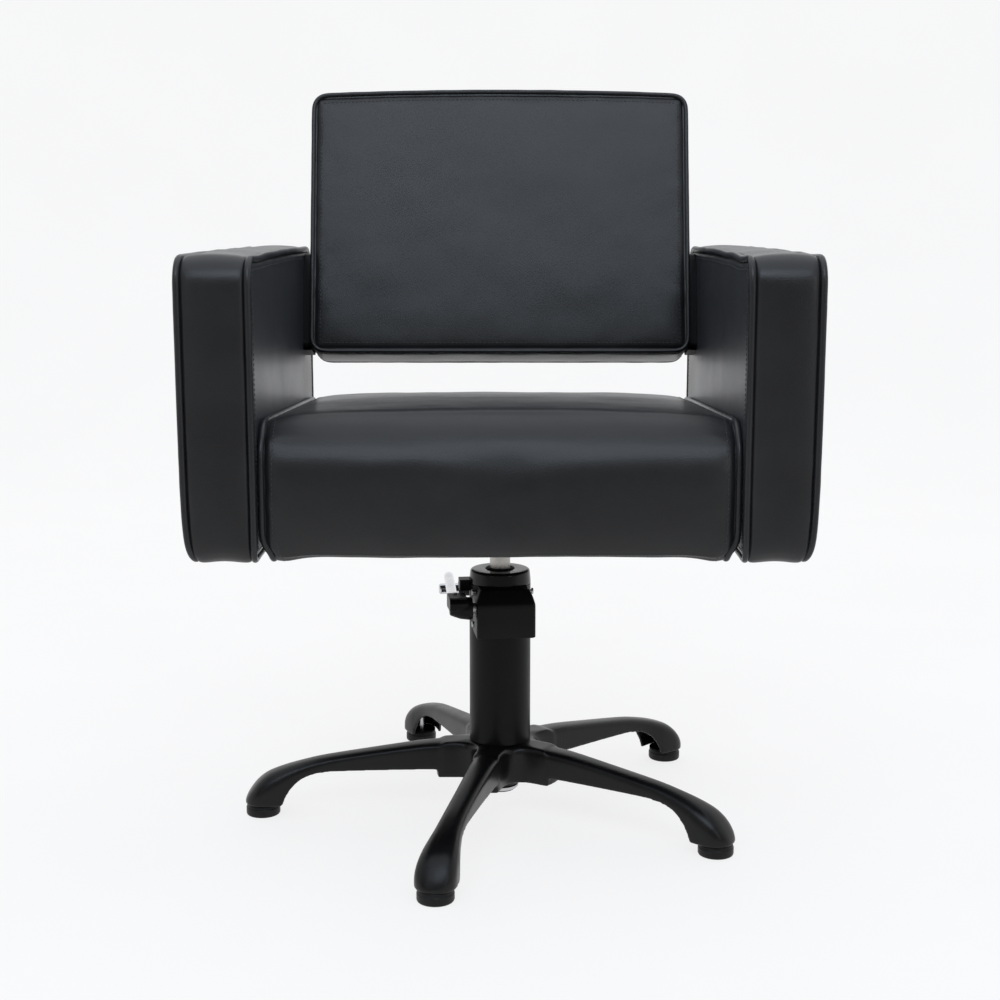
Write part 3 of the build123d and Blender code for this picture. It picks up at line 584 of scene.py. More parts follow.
def closed_curve(points, values=None):
    """Evenly spaced points on a smooth closed curve, with values carried along it."""
    rings = np.asarray(points, float)
    if values is not None:
        rings = np.hstack([rings, values])
    count = len(rings)
    dense = []
    for index in range(count):
        p0, p1, p2, p3 = (rings[(index + step) % count] for step in (-1, 0, 1, 2))
        parts = max(1, round(np.linalg.norm((p2 - p1)[:3]) / (CURVE_PITCH / 2)))
        for part in range(parts):
            t = part / parts
            dense.append(between(p0, p1, p2, p3, t))
    dense = np.array(dense)
    wrapped = np.vstack([dense, dense[:1]])
    lengths = np.linalg.norm(np.diff(wrapped[:, :3], axis=0), axis=1)
    along = np.concatenate([[0.0], np.cumsum(lengths)])
    wanted = np.linspace(0, along[-1], round(along[-1] / CURVE_PITCH), endpoint=False)
    made = np.column_stack([np.interp(wanted, along, column) for column in wrapped.T])
    return made if values is None else (made[:, :3], made[:, 3:])


def smooth_loop(values, steps):
    """Averages a closed run of values with their neighbours."""
    for _ in range(steps):
        values = 0.5 * values + 0.25 * (np.roll(values, 1, axis=0) + np.roll(values, -1, axis=0))
    return values


def nearest_on(curves, points):
    """For each point: how far the nearest curve is, and how far along it."""
    stacked = np.vstack(curves)
    along = np.concatenate([
        np.arange(len(curve)) * CURVE_PITCH + 10.0 * number for number, curve in enumerate(curves)
    ])
    tree = KDTree(len(stacked))
    for index, point in enumerate(stacked):
        tree.insert(point, index)
    tree.balance()
    hits = [tree.find(point) for point in points]
    return np.array([hit[2] for hit in hits]), along[[hit[1] for hit in hits]]


def wave(x, y, z, seed):
    """Smooth noise about 0, a different one for each seed."""
    return noise.noise(Vector((x, y, z + 17.3 * seed)))


def pucker(piece, curves, depth, reach, pitch, seed, broad=0.0006):
    """Gathers the cover unevenly beside its seams and leaves the panels a little uneven."""
    points, out = coords(piece), normals(piece)
    gaps, along = nearest_on(curves, points)
    amounts = np.zeros(len(points))
    for index, (gap, run) in enumerate(zip(gaps, along)):
        gather = wave(run / pitch, gap / (reach * 2.5), 0.0, seed)
        gather += 0.5 * wave(run / (pitch * 0.45), gap / reach, 3.0, seed)
        near = math.exp(-gap / reach) * (1 - math.exp(-gap / 0.0025))
        x, y, z = points[index]
        lumps = wave(x / 0.075, y / 0.075, z / 0.075, seed + 5)
        lumps += 0.4 * wave(x / 0.03, y / 0.03, z / 0.03, seed + 9)
        amounts[index] = depth * gather * near + broad * lumps * (1 - math.exp(-gap / 0.012))
    set_coords(piece, points + out * amounts[:, None])
    return gaps


def store_wear(piece, worn):
    layer = piece.data.attributes.new("wear", "FLOAT", "POINT")
    layer.data.foreach_set("value", np.asarray(worn, np.float32))


def add_wear(piece, gaps, reach=0.012):
    """Stores how rubbed the leather is: most along the seams, in patches."""
    patches = [0.5 + 0.8 * wave(x / 0.05, y / 0.05, z / 0.05, 3) for x, y, z in coords(piece)]
    store_wear(piece, np.clip(np.exp(-gaps / reach) * np.array(patches), 0, 1))


def piping_tube(name, piece, loop, outs, lift, radius=PIPING_R):
    """A cord sewn along a seam loop, sunk at the hem; returns its curve and its outward side."""
    along, outward = closed_curve(coords(piece)[loop], outs)
    outward = smooth_loop(outward, 6)
    outward /= np.linalg.norm(outward, axis=1, keepdims=True)
    rise = lift * (1 - CORD_SINK * np.clip(-outward[:, 2:], 0, 1))
    centre = smooth_loop(along, 6) + outward * smooth_loop(rise, 6)
    sizes = [radius * (1 + 0.06 * wave(run * 0.12, 0.0, 0.0, 11)) for run in range(len(centre))]
    cord = closed_tube(name, centre, sizes, 14)
    store_wear(cord, [CORD_WEAR] * len(cord.data.vertices))
    finish_piece(cord, "upholstery", "seat")
    return along, outward


def stitch_row(name, piece, along, outward, toward, inset):
    """A row of stitches beside a seam curve, on the side that toward points to."""
    surface = BVHTree.FromObject(piece, bpy.context.evaluated_depsgraph_get())
    tangents = np.roll(along, -1, axis=0) - np.roll(along, 1, axis=0)
    tangents /= np.linalg.norm(tangents, axis=1, keepdims=True)
    sideways = np.cross(tangents, outward)
    sideways *= np.sign(np.einsum("ij,ij->i", sideways, toward(along)))[:, None]
    hits = [surface.find_nearest(Vector(p))[:2] for p in along + (sideways - 0.6 * outward) * inset]
    table = np.array([[*spot, *normal] for spot, normal in hits + hits[:1]])
    steps = np.linalg.norm(np.diff(table[:, :3], axis=0), axis=1)
    run = np.concatenate([[0.0], np.cumsum(steps)])

    def spot_at(distance):
        found = np.array([np.interp(distance % run[-1], run, column) for column in table.T])
        return found[:3], found[3:] / np.linalg.norm(found[3:])

    count = int(run[-1] / (STITCH_LENGTH + STITCH_GAP))
    stitches = []
    for number in range(count):
        rings = []
        for share, size, rise in STITCH_PROFILE:
            start = number * run[-1] / count + share * STITCH_LENGTH
            point, up = spot_at(start)
            tangent = spot_at(start + THREAD_R)[0] - point
            tangent /= np.linalg.norm(tangent) + 1e-12
            side = np.cross(tangent, up)
            centre = point + up * THREAD_R * rise
            turns = [math.tau * turn / THREAD_SIDES for turn in range(THREAD_SIDES)]
            rings.append([
                centre + (side * math.cos(a) + up * math.sin(a)) * THREAD_R * size for a in turns
            ])
        stitches.append(loft(rings[::-1]))
    return finish_piece(merge_meshes(name, stitches), "upholstery", "seat", made=THREAD)


def bump_at(value, centre, width):
    """A smooth hump of height 1 at centre."""
    return np.exp(-((value - centre) / width) ** 2)


def seam_dip(distance, depth, reach):
    """How far the skin sinks at a distance from its seam: a dip and a groove beside the cord."""
    return depth * np.exp(-distance / reach) + 0.45 * depth * bump_at(distance, GROOVE_AT, GROOVE_W)


def pull_in(piece, distance, depth, crown, reach=0.0035, dome=0.05):
    """Sinks the skin at its seams and crowns it between them, along its normals."""
    amount = crown * (1 - np.exp(-distance / dome)) - seam_dip(distance, depth, reach)
    set_coords(piece, coords(piece) + normals(piece) * amount[:, None])


def dress_cover(piece, node, loops, gathers, reach=0.012):
    """Gathers and rubs a swollen cover along its seams; it stands for its CAD node."""
    curves = [closed_curve(coords(piece)[loop]) for loop in loops]
    gaps = pucker(piece, curves, *gathers)
    add_wear(piece, gaps, reach)
    finish_piece(piece, "upholstery", "seat", node)


# ---- arms ----

ARM_TOP_R = 0.029
ARM_BOTTOM_R = 0.016
ARM_SEAM_DEPTH = 0.0056
ARM_SEAM_REACH = 0.0060
ARM_CROWN = 0.0014
ARM_CORD_LIFT = 0.0013
ARM_STITCH_INSET = 0.0088


def arm_taper(points, inner, outer):
    """The outer side draws in towards the hem and the hem lifts between its two seams."""
    x, y, z = points.T
    low = z.min()
    share = (x - inner) / (outer - inner)
    height = z - low
    draw = 0.0074 * np.exp(-height / 0.014) + 0.0024 * np.exp(-height / 0.060)
    x = x - np.sign(outer) * draw * np.clip(share, 0, 1) ** 1.5
    lift = 0.0044 * np.sin(np.pi * np.clip(share, 0, 1)) ** 2
    z = z + lift * np.exp(-height / 0.020) - 0.0040 * np.exp(-height / 0.030)
    return np.column_stack([x, y, z])


def arm_waves(points, inner, outer, seed):
    """Slow waves in the top of the cover, most along the inner seam."""
    x, y, z = points.T
    top, front = z.max(), y.min()
    share = 1 - np.clip((x - inner) / (outer - inner), 0, 1)
    near_top = np.exp(-(top - z) / 0.030)
    dip = -0.0030 * bump_at(y, front + 0.075, 0.045) + 0.0018 * bump_at(y, front + 0.33, 0.10)
    slow = np.array([0.0014 * wave(py / 0.06, 2.0, 0.0, seed) for py in y])
    return np.column_stack([x, y, z + near_top * (dip * (0.35 + 0.65 * share) + slow)])


def arm_skin(name, node, seed):
    """One arm's cover: side panels, and a strip round the front, top, back and hem."""
    low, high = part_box(node)
    left = low.x > 0
    near, far = (low.x, high.x) if left else (high.x, low.x)
    lows = np.array([low.y, low.z, low.x])
    highs = np.array([high.y, high.z, high.x])
    spans = [rows(*pair) for pair in zip(lows, highs)]
    points, quads, loops = lattice(*spans)
    distance = seam_distance(points, lows, highs)
    radii = {(0, 1): ARM_TOP_R, (1, 1): ARM_TOP_R, (0, 0): ARM_BOTTOM_R, (1, 0): ARM_BOTTOM_R}
    placed = round_corners(points, lows, highs, radii)[:, [2, 0, 1]]
    placed = arm_taper(placed, near, far)
    piece = new_piece(name, placed, quads)
    outs = [normals(piece)[loop] for loop in loops]
    pinned = [index for loop in loops for index in loop]
    swell(piece, pinned, distance, 3.0, 0.003, 0.0022)
    pull_in(piece, distance, ARM_SEAM_DEPTH, ARM_CROWN, ARM_SEAM_REACH, 0.030)
    set_coords(piece, arm_waves(coords(piece), near, far, seed))
    hold_inside(piece, near)
    return subdivide(piece), loops, outs


def hold_inside(piece, near):
    """Keeps the arm's inner side off the seat beside it."""
    points = coords(piece)
    points[:, 0] = np.maximum(points[:, 0], near) if near > 0 else np.minimum(points[:, 0], near)
    set_coords(piece, points)


def add_arm(side, seed):
    node = f"{side}_arm_pad"
    piece, loops, outs = arm_skin(f"{side}_arm_cover", node, seed)
    dress_cover(piece, node, loops, (0.0005, 0.010, 0.030, seed, 0.0003))
    middle = np.array(sum(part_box(node), Vector())) / 2
    for number, loop in enumerate(loops):
        edge = "outer" if (number == 1) == (side == "left") else "inner"
        name = f"{side}_arm_piping_{edge}"
        along, outward = piping_tube(name, piece, loop, outs[number], ARM_CORD_LIFT)
        stitch_row(
            f"{side}_arm_stitches_{edge}", piece, along, outward,
            lambda curve: (middle - curve) * np.array([0, 1, 1]), ARM_STITCH_INSET,
        )


# ---- seat ----

SEAT_NOSE_R = 0.048
SEAT_BACK_R = 0.016
SEAT_HEM_R = 0.012
SEAT_CROWN = 0.006
SEAT_DROP = 0.028
WALL_SLOPE = 0.004
SEAT_CORD_LIFT = 0.0022
SEAT_STITCH_INSET = 0.0092
FRAME_GAP = 0.0005
BOARD_GAP = 0.0004


def with_rows(found, extra):
    """The rows with some more, dropping those that would lie right beside them."""
    kept = [row for row in found if min(abs(row - other) for other in extra) > WALL_SLOPE * 0.8]
    return sorted(set(kept) | set(extra) | {found[0], found[-1]})


def seat_slope(points, front_top, back_top, lows, highs):
    """Lowers the top towards the back."""
    share = (points[:, 0] - lows[0]) / (highs[0] - lows[0])
    top = front_top + (back_top - front_top) * np.clip(share, 0, 1)
    out = points.copy()
    out[:, 1] = lows[1] + (points[:, 1] - lows[1]) * (top - lows[1]) / (highs[1] - lows[1])
    return out


def seat_shape(points, low, high):
    """Crowns the top, fills the front's corners at the hem and draws the sides in at the hem."""
    x, y, z = points.T
    across = np.clip(1 - (x / high.x) ** 2, 0, 1)
    along = np.clip((y - low.y) / (high.y - low.y), 0, 1)
    rise = SEAT_CROWN * across * np.sin(np.pi * np.clip(along * 0.9 + 0.1, 0, 1)) ** 0.7
    height = np.clip((z - low.z) / (high.z - low.z), 0, 1)
    z = z + rise * height ** 2
    at_sides = np.clip((np.abs(x) / high.x - 0.9) / 0.1, 0, 1)
    x = x - np.sign(x) * 0.0115 * np.exp(-((z - low.z) / 0.0095) ** 2) * at_sides
    corners = bump_at(np.abs(x), high.x - 0.024, 0.016)
    z = z - 0.0045 * corners * np.exp(-(z - low.z) / 0.012) * bump_at(y, low.y, 0.05)
    return np.column_stack([x, y, z])


def add_seat():
    node = "seat_cushion"
    low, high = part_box(node)
    lows = np.array([low.y, low.z, low.x])
    highs = np.array([high.y, high.z, high.x])
    frame_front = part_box("seat_rail_front")[0].y - FRAME_GAP
    frame_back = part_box("seat_rail_back")[1].y + FRAME_GAP
    frame_half = max(abs(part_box("seat_rail_left")[1].x), abs(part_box("seat_rail_right")[0].x)) + FRAME_GAP
    board_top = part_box("seat_board")[1].z + BOARD_GAP
    spans = [rows(*pair, pitch=0.0125) for pair in zip(lows, highs)]
    for axis, start, end in ((0, frame_front, frame_back), (2, -frame_half, frame_half)):
        spans[axis] = with_rows(spans[axis], [start, start + WALL_SLOPE, end - WALL_SLOPE, end])
    points, quads, loops = lattice(*spans)
    distance = seam_distance(points, lows, highs)
    radii = {(0, 1): SEAT_NOSE_R, (1, 1): SEAT_BACK_R, (0, 0): SEAT_HEM_R, (1, 0): SEAT_HEM_R}
    placed = round_corners(points, lows, highs, radii)
    back_top = high.z - SEAT_DROP
    placed = seat_slope(placed, high.z, back_top, lows, highs)[:, [2, 0, 1]]
    placed = seat_shape(placed, low, high)
    under = points[:, 1] <= lows[1] + 1e-9
    inside = under & (np.abs(points[:, 2]) < frame_half - 1e-5)
    inside &= (points[:, 0] > frame_front + 1e-5) & (points[:, 0] < frame_back - 1e-5)
    piece = new_piece("seat_cover", placed, quads)
    outs = [normals(piece)[loop] for loop in loops]
    pinned = set(np.nonzero(under)[0]) | {index for loop in loops for index in loop}
    swell(piece, pinned, distance, 4.0, 0.005, 0.0035)
    free = ~under
    amount = 0.004 * (1 - np.exp(-distance / 0.05)) - seam_dip(distance, 0.0052, 0.0062)
    side = (np.abs(points[:, 2]) >= highs[2] - 1e-9) & (distance > 1e-9)
    amount[side] = -0.0015 * np.exp(-distance[side] / 0.004)
    set_coords(piece, coords(piece) + normals(piece) * (amount * free)[:, None])
    held = coords(piece)
    held[:, 0] = np.clip(held[:, 0], low.x, high.x)
    held[inside, 2] = board_top
    set_coords(piece, held)
    subdivide(piece)
    dress_cover(piece, node, loops, (0.0012, 0.014, 0.024, 4, 0.0009), 0.015)
    for number, loop in enumerate(loops):
        edge = ("right", "left")[number]
        along, outward = piping_tube(f"seat_piping_{edge}", piece, loop, outs[number], SEAT_CORD_LIFT)
        stitch_row(
            f"seat_stitches_{edge}", piece, along, outward,
            lambda curve: -curve * np.array([1, 0, 0]), SEAT_STITCH_INSET,
        )


# ---- back ----

BACK_LEAN = math.radians(15.0)
BACK_CORNER_R = 0.017
BACK_CROWN = 0.005
BACK_CORD_R = 0.0028
BACK_CORD_LIFT = 0.0014
BACK_STITCH_INSET = 0.0085


def back_axes():
    """Across, up along the back and out of its front, as columns."""
    up = Vector((0.0, math.sin(BACK_LEAN), math.cos(BACK_LEAN)))
    front = Vector((0.0, -math.cos(BACK_LEAN), math.sin(BACK_LEAN)))
    return Matrix((Vector((1.0, 0.0, 0.0)), up, front)).transposed()


def add_back():
    node = "back_cushion"
    axes = np.array(back_axes())
    local = np.array([v.co for v in nodes[node].data.vertices]) @ axes
    lows, highs = local.min(axis=0), local.max(axis=0)
    highs[1] -= BACK_CROWN
    spans = [rows(*pair) for pair in zip(lows, highs)]
    points, quads, loops = lattice(*spans)
    distance = seam_distance(points, lows, highs)
    radii = {(side, end): BACK_CORNER_R for side in (0, 1) for end in (0, 1)}
    placed = round_corners(points, lows, highs, radii)
    across = (placed[:, 0] / highs[0]) ** 2
    share = np.clip((placed[:, 1] - lows[1]) / (highs[1] - lows[1]), 0, 1)
    placed[:, 1] += BACK_CROWN * (1 - across) * share ** 4
    piece = new_piece("back_cover", placed @ axes.T, quads)
    outs = [normals(piece)[loop] for loop in loops]
    pinned = [index for loop in loops for index in loop]
    swell(piece, pinned, distance, 4.0, 0.004, 0.0016)
    pull_in(piece, distance, 0.0036, 0.0012, 0.0045)
    subdivide(piece)
    dress_cover(piece, node, loops, (0.0010, 0.011, 0.020, 8))
    middle = axes @ np.array([0.0, (lows[1] + highs[1]) / 2, 0.0])
    inward = {
        "rear": lambda curve: np.tile(axes[:, 2], (len(curve), 1)),
        "front": lambda curve: middle - curve,
    }
    for loop, out, edge in zip(loops, outs, inward):
        name = f"back_piping_{edge}"
        along, outward = piping_tube(name, piece, loop, out, BACK_CORD_LIFT, BACK_CORD_R)
        stitch_row(f"back_stitches_{edge}", piece, along, outward, inward[edge], BACK_STITCH_INSET)


# ---- star base ----

# Each arm from the hub out to the foot: distance out, half width, top, underside, shoulder depth
ARM_STATIONS = [
    (0.020, 0.0200, 0.0880, 0.0370, 0.008),
    (0.036, 0.0172, 0.0876, 0.0450, 0.008),
    (0.052, 0.0162, 0.0868, 0.0505, 0.008),
    (0.075, 0.0154, 0.0858, 0.0530, 0.008),
    (0.100, 0.0146, 0.0840, 0.0535, 0.008),
    (0.150, 0.0136, 0.0778, 0.0535, 0.008),
    (0.195, 0.0136, 0.0718, 0.0532, 0.009),
    (0.216, 0.0142, 0.0685, 0.0520, 0.011),
    (0.231, 0.0153, 0.0652, 0.0480, 0.013),
    (0.242, 0.0168, 0.0624, 0.0415, 0.015),
    (0.250, 0.0183, 0.0602, 0.0330, 0.017),
    (0.256, 0.0195, 0.0583, 0.0230, 0.019),
    (0.2592, 0.0203, 0.0572, 0.0155, 0.020),
    (0.266, 0.0215, 0.0548, 0.0150, 0.022),
    (0.275, 0.0225, 0.0510, 0.0150, 0.024),
    (0.2825, 0.0228, 0.0462, 0.0150, 0.024),
    (0.2890, 0.0216, 0.0405, 0.0150, 0.021),
    (0.2945, 0.0186, 0.0340, 0.0150, 0.016),
    (0.2990, 0.0142, 0.0275, 0.0150, 0.010),
    (0.3018, 0.0092, 0.0220, 0.0150, 0.005),
    (0.3034, 0.0020, 0.0175, 0.0150, 0.002),
]
ARM_WALL = 0.0040
HOLLOW_FROM = 0.055
HUB_FILLET_R = 0.043
HUB_TOP = 0.0882
HUB_LOW = 0.044
HUB_SIDE = 0.0161
BARREL_R = 0.022
CASTING_VOXEL = 0.0017


def smooth_rows(table, parts):
    """Rows between the given ones, on a smooth curve through them."""
    table = np.array(table, float)
    made = []
    for index in range(len(table) - 1):
        p1, p2 = table[index], table[index + 1]
        p0, p3 = table[max(index - 1, 0)], table[min(index + 2, len(table) - 1)]
        for part in range(parts):
            t = part / parts
            made.append(between(p0, p1, p2, p3, t))
    made.append(table[-1])
    return np.array(made)


def arch(half, top, low, depth, steps=22, power=2.7):
    """An arm's section from its left foot over its rounded top to its right foot."""
    depth = min(depth, top - low)
    points = [(-half, low)]
    for step in range(steps + 1):
        angle = math.pi * (1 - step / steps)
        x, y = math.cos(angle), math.sin(angle)
        side = math.copysign(abs(x) ** (2 / power), x) * half
        points.append((side, top - depth + depth * abs(y) ** (2 / power)))
    return points + [(half, low)]


def star_arm(angle):
    """One arm: solid beside the hub, then a channel open underneath, with its rounded foot."""
    out = np.array([math.cos(angle), math.sin(angle), 0.0])
    side = np.array([-out[1], out[0], 0.0])
    up = np.array([0.0, 0.0, 1.0])
    made = smooth_rows(ARM_STATIONS, 5)
    root, channel = [], []
    for reach, half, top, low, depth in made:
        outer = arch(half, top, low, depth)
        place = out * reach
        if reach < HOLLOW_FROM + 0.006:
            root.append([place + side * x + up * z for x, z in outer])
        if reach > HOLLOW_FROM:
            inside = max(half - ARM_WALL, 0.0004)
            inner = arch(inside, max(top - ARM_WALL, low + 0.001), low, max(depth - ARM_WALL / 2, 0.001))
            back = out * min(reach, made[-1][0] - ARM_WALL * min(1.0, (reach / 0.285) ** 8))
            section = [place + side * x + up * z for x, z in outer]
            section += [back + side * x + up * z for x, z in reversed(inner)]
            channel.append(section)
    return [loft(root), loft(channel)]


def hub_outline(turn):
    """The hub's radius at an angle from an arm's middle, running out along the arm's side."""
    across = max(abs(math.sin(turn)), HUB_SIDE / 0.075)
    return (HUB_FILLET_R ** 5 + (HUB_SIDE / across) ** 5) ** 0.2


def hub_web(first, arms):
    """The top of the hub, filled in between the arms."""
    sides = 180
    sections = []
    levels = [(1.0, HUB_LOW), (1.0, 0.060), (1.0, HUB_TOP - 0.010)]
    levels += [
        (1 - 0.0075 / 0.045 * (1 - math.cos(a)), HUB_TOP - 0.010 + 0.009 * math.sin(a))
        for a in (math.pi / 2 * step / 6 for step in range(1, 7))
    ]
    levels += [(0.55, HUB_TOP), (0.10, HUB_TOP)]
    for share, height in levels:
        ring = []
        for step in range(sides):
            angle = math.tau * step / sides
            turn = (angle - first + math.pi / arms) % (math.tau / arms) - math.pi / arms
            radius = hub_outline(turn) * share
            ring.append(np.array([radius * math.cos(angle), radius * math.sin(angle), height]))
        sections.append(ring)
    return loft(sections)


def hub_barrel():
    """The round lower end of the hub."""
    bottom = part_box("hub_washer")[1].z + 0.0001
    shares = ((0.7, 0.0), (0.955, 0.0), (1.0, 0.0012), (1.0, 0.030))
    return loft(turned_rings([(BARREL_R * share, z) for share, z in shares], (0, 0, bottom), 72))


def recast(piece, voxel):
    """Fuses overlapping forms into one closed skin."""
    modifier = piece.modifiers.new("remesh", "REMESH")
    modifier.mode = "VOXEL"
    modifier.voxel_size = voxel
    apply_modifiers(piece)
    piece.data.polygons.foreach_set("use_smooth", [True] * len(piece.data.polygons))
    return piece


def relax(piece, rounds, plain=0):
    """Evens the skin out without shrinking it, then softens its corners a little."""
    points = coords(piece)
    for step in [0.5, -0.52] * rounds + [0.5] * plain:
        points = points + step * (neighbour_mean(piece, points) - points)
    set_coords(piece, points)


def add_star_base():
    """The cast base: five arms with rounded feet, their hub and its web."""
    feet = [entry for entry in sorted(nodes) if entry.startswith("glide_") and entry != "glide_stems"]
    centre = sum(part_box("glide_1"), Vector()) / 2
    first = math.atan2(centre.y, centre.x)
    parts = [hub_web(first, len(feet)), hub_barrel()]
    for number in range(len(feet)):
        parts += star_arm(first + math.tau * number / len(feet))
    piece = merge_meshes("star_base_casting", parts)
    recast(piece, CASTING_VOXEL)
    relax(piece, 8, 3)
    finish_piece(piece, "black_casting", "base", "star_base")
    for foot in feet:
        add_glide(foot)


def add_glide(node):
    """A moulded glide: a rounded sole, a fine ring and a neck up into the foot."""
    low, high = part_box(node)
    radius = (high.x - low.x) / 2
    profile = [
        (radius - 0.0030, 0.0), (radius - 0.0008, 0.0008), (radius, 0.0024), (radius, 0.0094),
        (radius - 0.0004, 0.0098), (radius - 0.0005, 0.0104), (radius - 0.0009, 0.0107),
        (radius - 0.0009, 0.0160),
    ]
    centre = ((low.x + high.x) / 2, (low.y + high.y) / 2, low.z)
    piece = new_piece(node + "_moulding", *loft(turned_rings(rounded(profile, 0.0006, 3), centre, 72)))
    flatten_caps(piece)
    finish_piece(piece, "glide_rubber", "base", node)


# ---- pump ----

LEVER_AXIS = Vector(joints["pump_lever"]["axis"])
COVER_BACK = -0.0115
COVER_WALL = 0.0022
FACE_CORNER_R = 0.0042
HOOD_CORNER_R = 0.0050
HOOD_HEIGHT = 0.0150
LEVER_VOXEL = 0.0007
PUMP_TURN = Matrix.Rotation(math.atan2(-LEVER_AXIS.y, -LEVER_AXIS.x), 4, "Z")


def pump_place(x, y, z):
    """A point in the pump's own turned frame."""
    return PUMP_TURN @ Vector((x, y, z))


def pump_box(node):
    """A node's corners in the pump's own turned frame."""
    local = np.array([PUMP_TURN.inverted() @ v.co for v in nodes[node].data.vertices])
    return Vector(local.min(axis=0)), Vector(local.max(axis=0))


def cover_section(half, front, back, corner, steps=6):
    """The cover's outline at one height, from its left back edge round to its right one."""
    points = [(-half, back), (-half, (back + front + corner) / 2)]
    for step in range(steps + 1):
        a = math.pi / 2 * step / steps
        points.append((-half + corner - corner * math.cos(a), front + corner - corner * math.sin(a)))
    return points + [(-x, y) for x, y in reversed(points)]


def add_pump_cover():
    """The moulded cover: an upright face, a slanted hood with drawn-in sides, softened edges."""
    low, high = pump_box("pump_cover")
    half, front = high.x, low.y
    back, shoulder = COVER_BACK, high.z - HOOD_HEIGHT
    levels = [
        (low.z, half - 0.0012, front + 0.0012), (low.z + 0.0005, half - 0.0003, front + 0.0003),
        (low.z + 0.0014, half, front), (low.z + 0.018, half, front), (shoulder - 0.006, half, front),
        (shoulder - 0.0015, half - 0.0001, front), (shoulder + 0.0004, half - 0.0003, front + 0.0005),
        (shoulder + 0.0020, half - 0.0007, front + 0.0018),
        (shoulder + 0.006, half - 0.0018, front + 0.0052),
        (shoulder + 0.010, half - 0.0032, front + 0.0087), (high.z - 0.0016, half - 0.0048, front + 0.0120),
        (high.z - 0.0004, half - 0.0056, front + 0.0130), (high.z, half - 0.0068, front + 0.0142),
    ]
    sections = []
    for z, wide, near in levels:
        corner = FACE_CORNER_R if z < shoulder else HOOD_CORNER_R
        sections.append([pump_place(x, y, z) for x, y in cover_section(wide, near, back, corner)])
    piece = new_piece("pump_cover_moulding", *loft(sections, closed=False))
    shell = piece.modifiers.new("wall", "SOLIDIFY")
    shell.thickness = COVER_WALL
    shell.offset = -1.0
    apply_modifiers(piece)
    flatten_caps(piece)
    finish_piece(piece, "cover_black", "base", "pump_cover")


def add_pump_head():
    """The collar: a gloss top round the wiper, a small edge and a slightly tapered side."""
    low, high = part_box("pump_head")
    column_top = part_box("pump_column")[1].z
    radius = (high.x - low.x) / 2
    wiper = (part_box("wiper_seal")[1].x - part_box("wiper_seal")[0].x) / 2
    top = high.z
    profile = [
        (wiper + 0.0001, top - 0.006), (wiper + 0.0001, top - 0.0004), (wiper + 0.0005, top),
        (radius - 0.0050, top - 0.0001), (radius - 0.0030, top - 0.0003), (radius - 0.0016, top - 0.0014),
        (radius - 0.0011, top - 0.0030), (radius - 0.0003, column_top + 0.005),
        (radius, column_top + 0.0016), (radius - 0.0003, column_top + 0.0004),
        (radius - 0.0014, column_top), (radius - 0.014, column_top - 0.0002),
    ]
    rings = turned_rings(rounded(profile, 0.0008, 4), (0, 0, 0), 128)
    piece = new_piece("pump_head_collar", *loft(rings, capped=False))
    piece.data.flip_normals()
    finish_piece(piece, "gloss_black", "base", "pump_head")


def add_lever_hub():
    """The lever's casting: a cone round the shaft with the rod's socket on it."""
    low, high = pump_box("lever_hub")
    origin = PUMP_TURN.inverted() @ Vector(joints["pump_lever"]["pos_m"])
    parts = []
    cone = [
        (high.x, 0.0128), (high.x - 0.004, 0.0132), (high.x - 0.014, 0.0118),
        (low.x + 0.002, 0.0082), (low.x, 0.0070),
    ]
    sections = []
    for x, r in cone:
        sections.append([
            pump_place(x, origin.y + r * math.cos(a), origin.z + r * math.sin(a))
            for a in (math.tau * step / 48 for step in range(48))
        ])
    parts.append(loft(sections))
    # The socket from front to back: place along it, underside, top
    socket = [
        (low.y + 0.001, 0.2585, 0.2662), (low.y + 0.004, 0.2575, 0.2700), (low.y + 0.010, 0.2565, high.z),
        (high.y - 0.006, 0.2540, high.z), (high.y - 0.001, 0.2545, high.z - 0.001),
        (high.y, 0.2560, high.z - 0.003),
    ]
    outer, inner = low.x - 0.0005, high.x - 0.006
    sections = []
    for y, bottom, top in socket:
        corners = ((outer, bottom), (inner, bottom), (inner, top), (outer, top))
        sections.append([pump_place(x, y, z) for x, z in corners])
    parts.append(loft(sections))
    piece = merge_meshes("lever_hub_casting", parts)
    recast(piece, LEVER_VOXEL)
    relax(piece, 4, 2)
    finish_piece(piece, "black_steel", "lever", "lever_hub")


# ---- room ----

FLOOR_GLOW = 0.795
FRONT_GLOW = 0.22
ROOM_R = 5.5
ROOM_Y = -1.8
ROOM_H = 5.0
ROOM_BEND = 1.6
FLOOR_R = 2.0
GLOW_FROM_Y = -3.7
GLOW_TO_Y = -1.0
SKY_LEVEL = (0.12, 0.125, 0.135)
SKY_TOP = (0.70, 0.74, 0.82)


def glowing_floor_paint():
    """Dark grey matte paint with a painted glow that lights it white; the glow fades towards the front of the
    room.
    """
    look = Look("studio_floor", (0.15, 0.15, 0.15), 0.85, specular=0.1)
    axes = look.node("SeparateXYZ", {"Vector": look.place})
    look.surface({
        "Base Color": look.ramp(look.noise(3.0), (0.145, 0.145, 0.145), (0.155, 0.155, 0.155)),
        # Painted glow: the floor shines by itself, which lightens the chair's shadow on it, and shines less
        # towards the front, so the chair's fronts reflect a darker room.
        "Emission Color": (1.0, 1.0, 1.0, 1.0),
        "Emission Strength": look.spread(axes.outputs["Y"], FRONT_GLOW, FLOOR_GLOW, GLOW_FROM_Y, GLOW_TO_Y),
    })
    return look.made


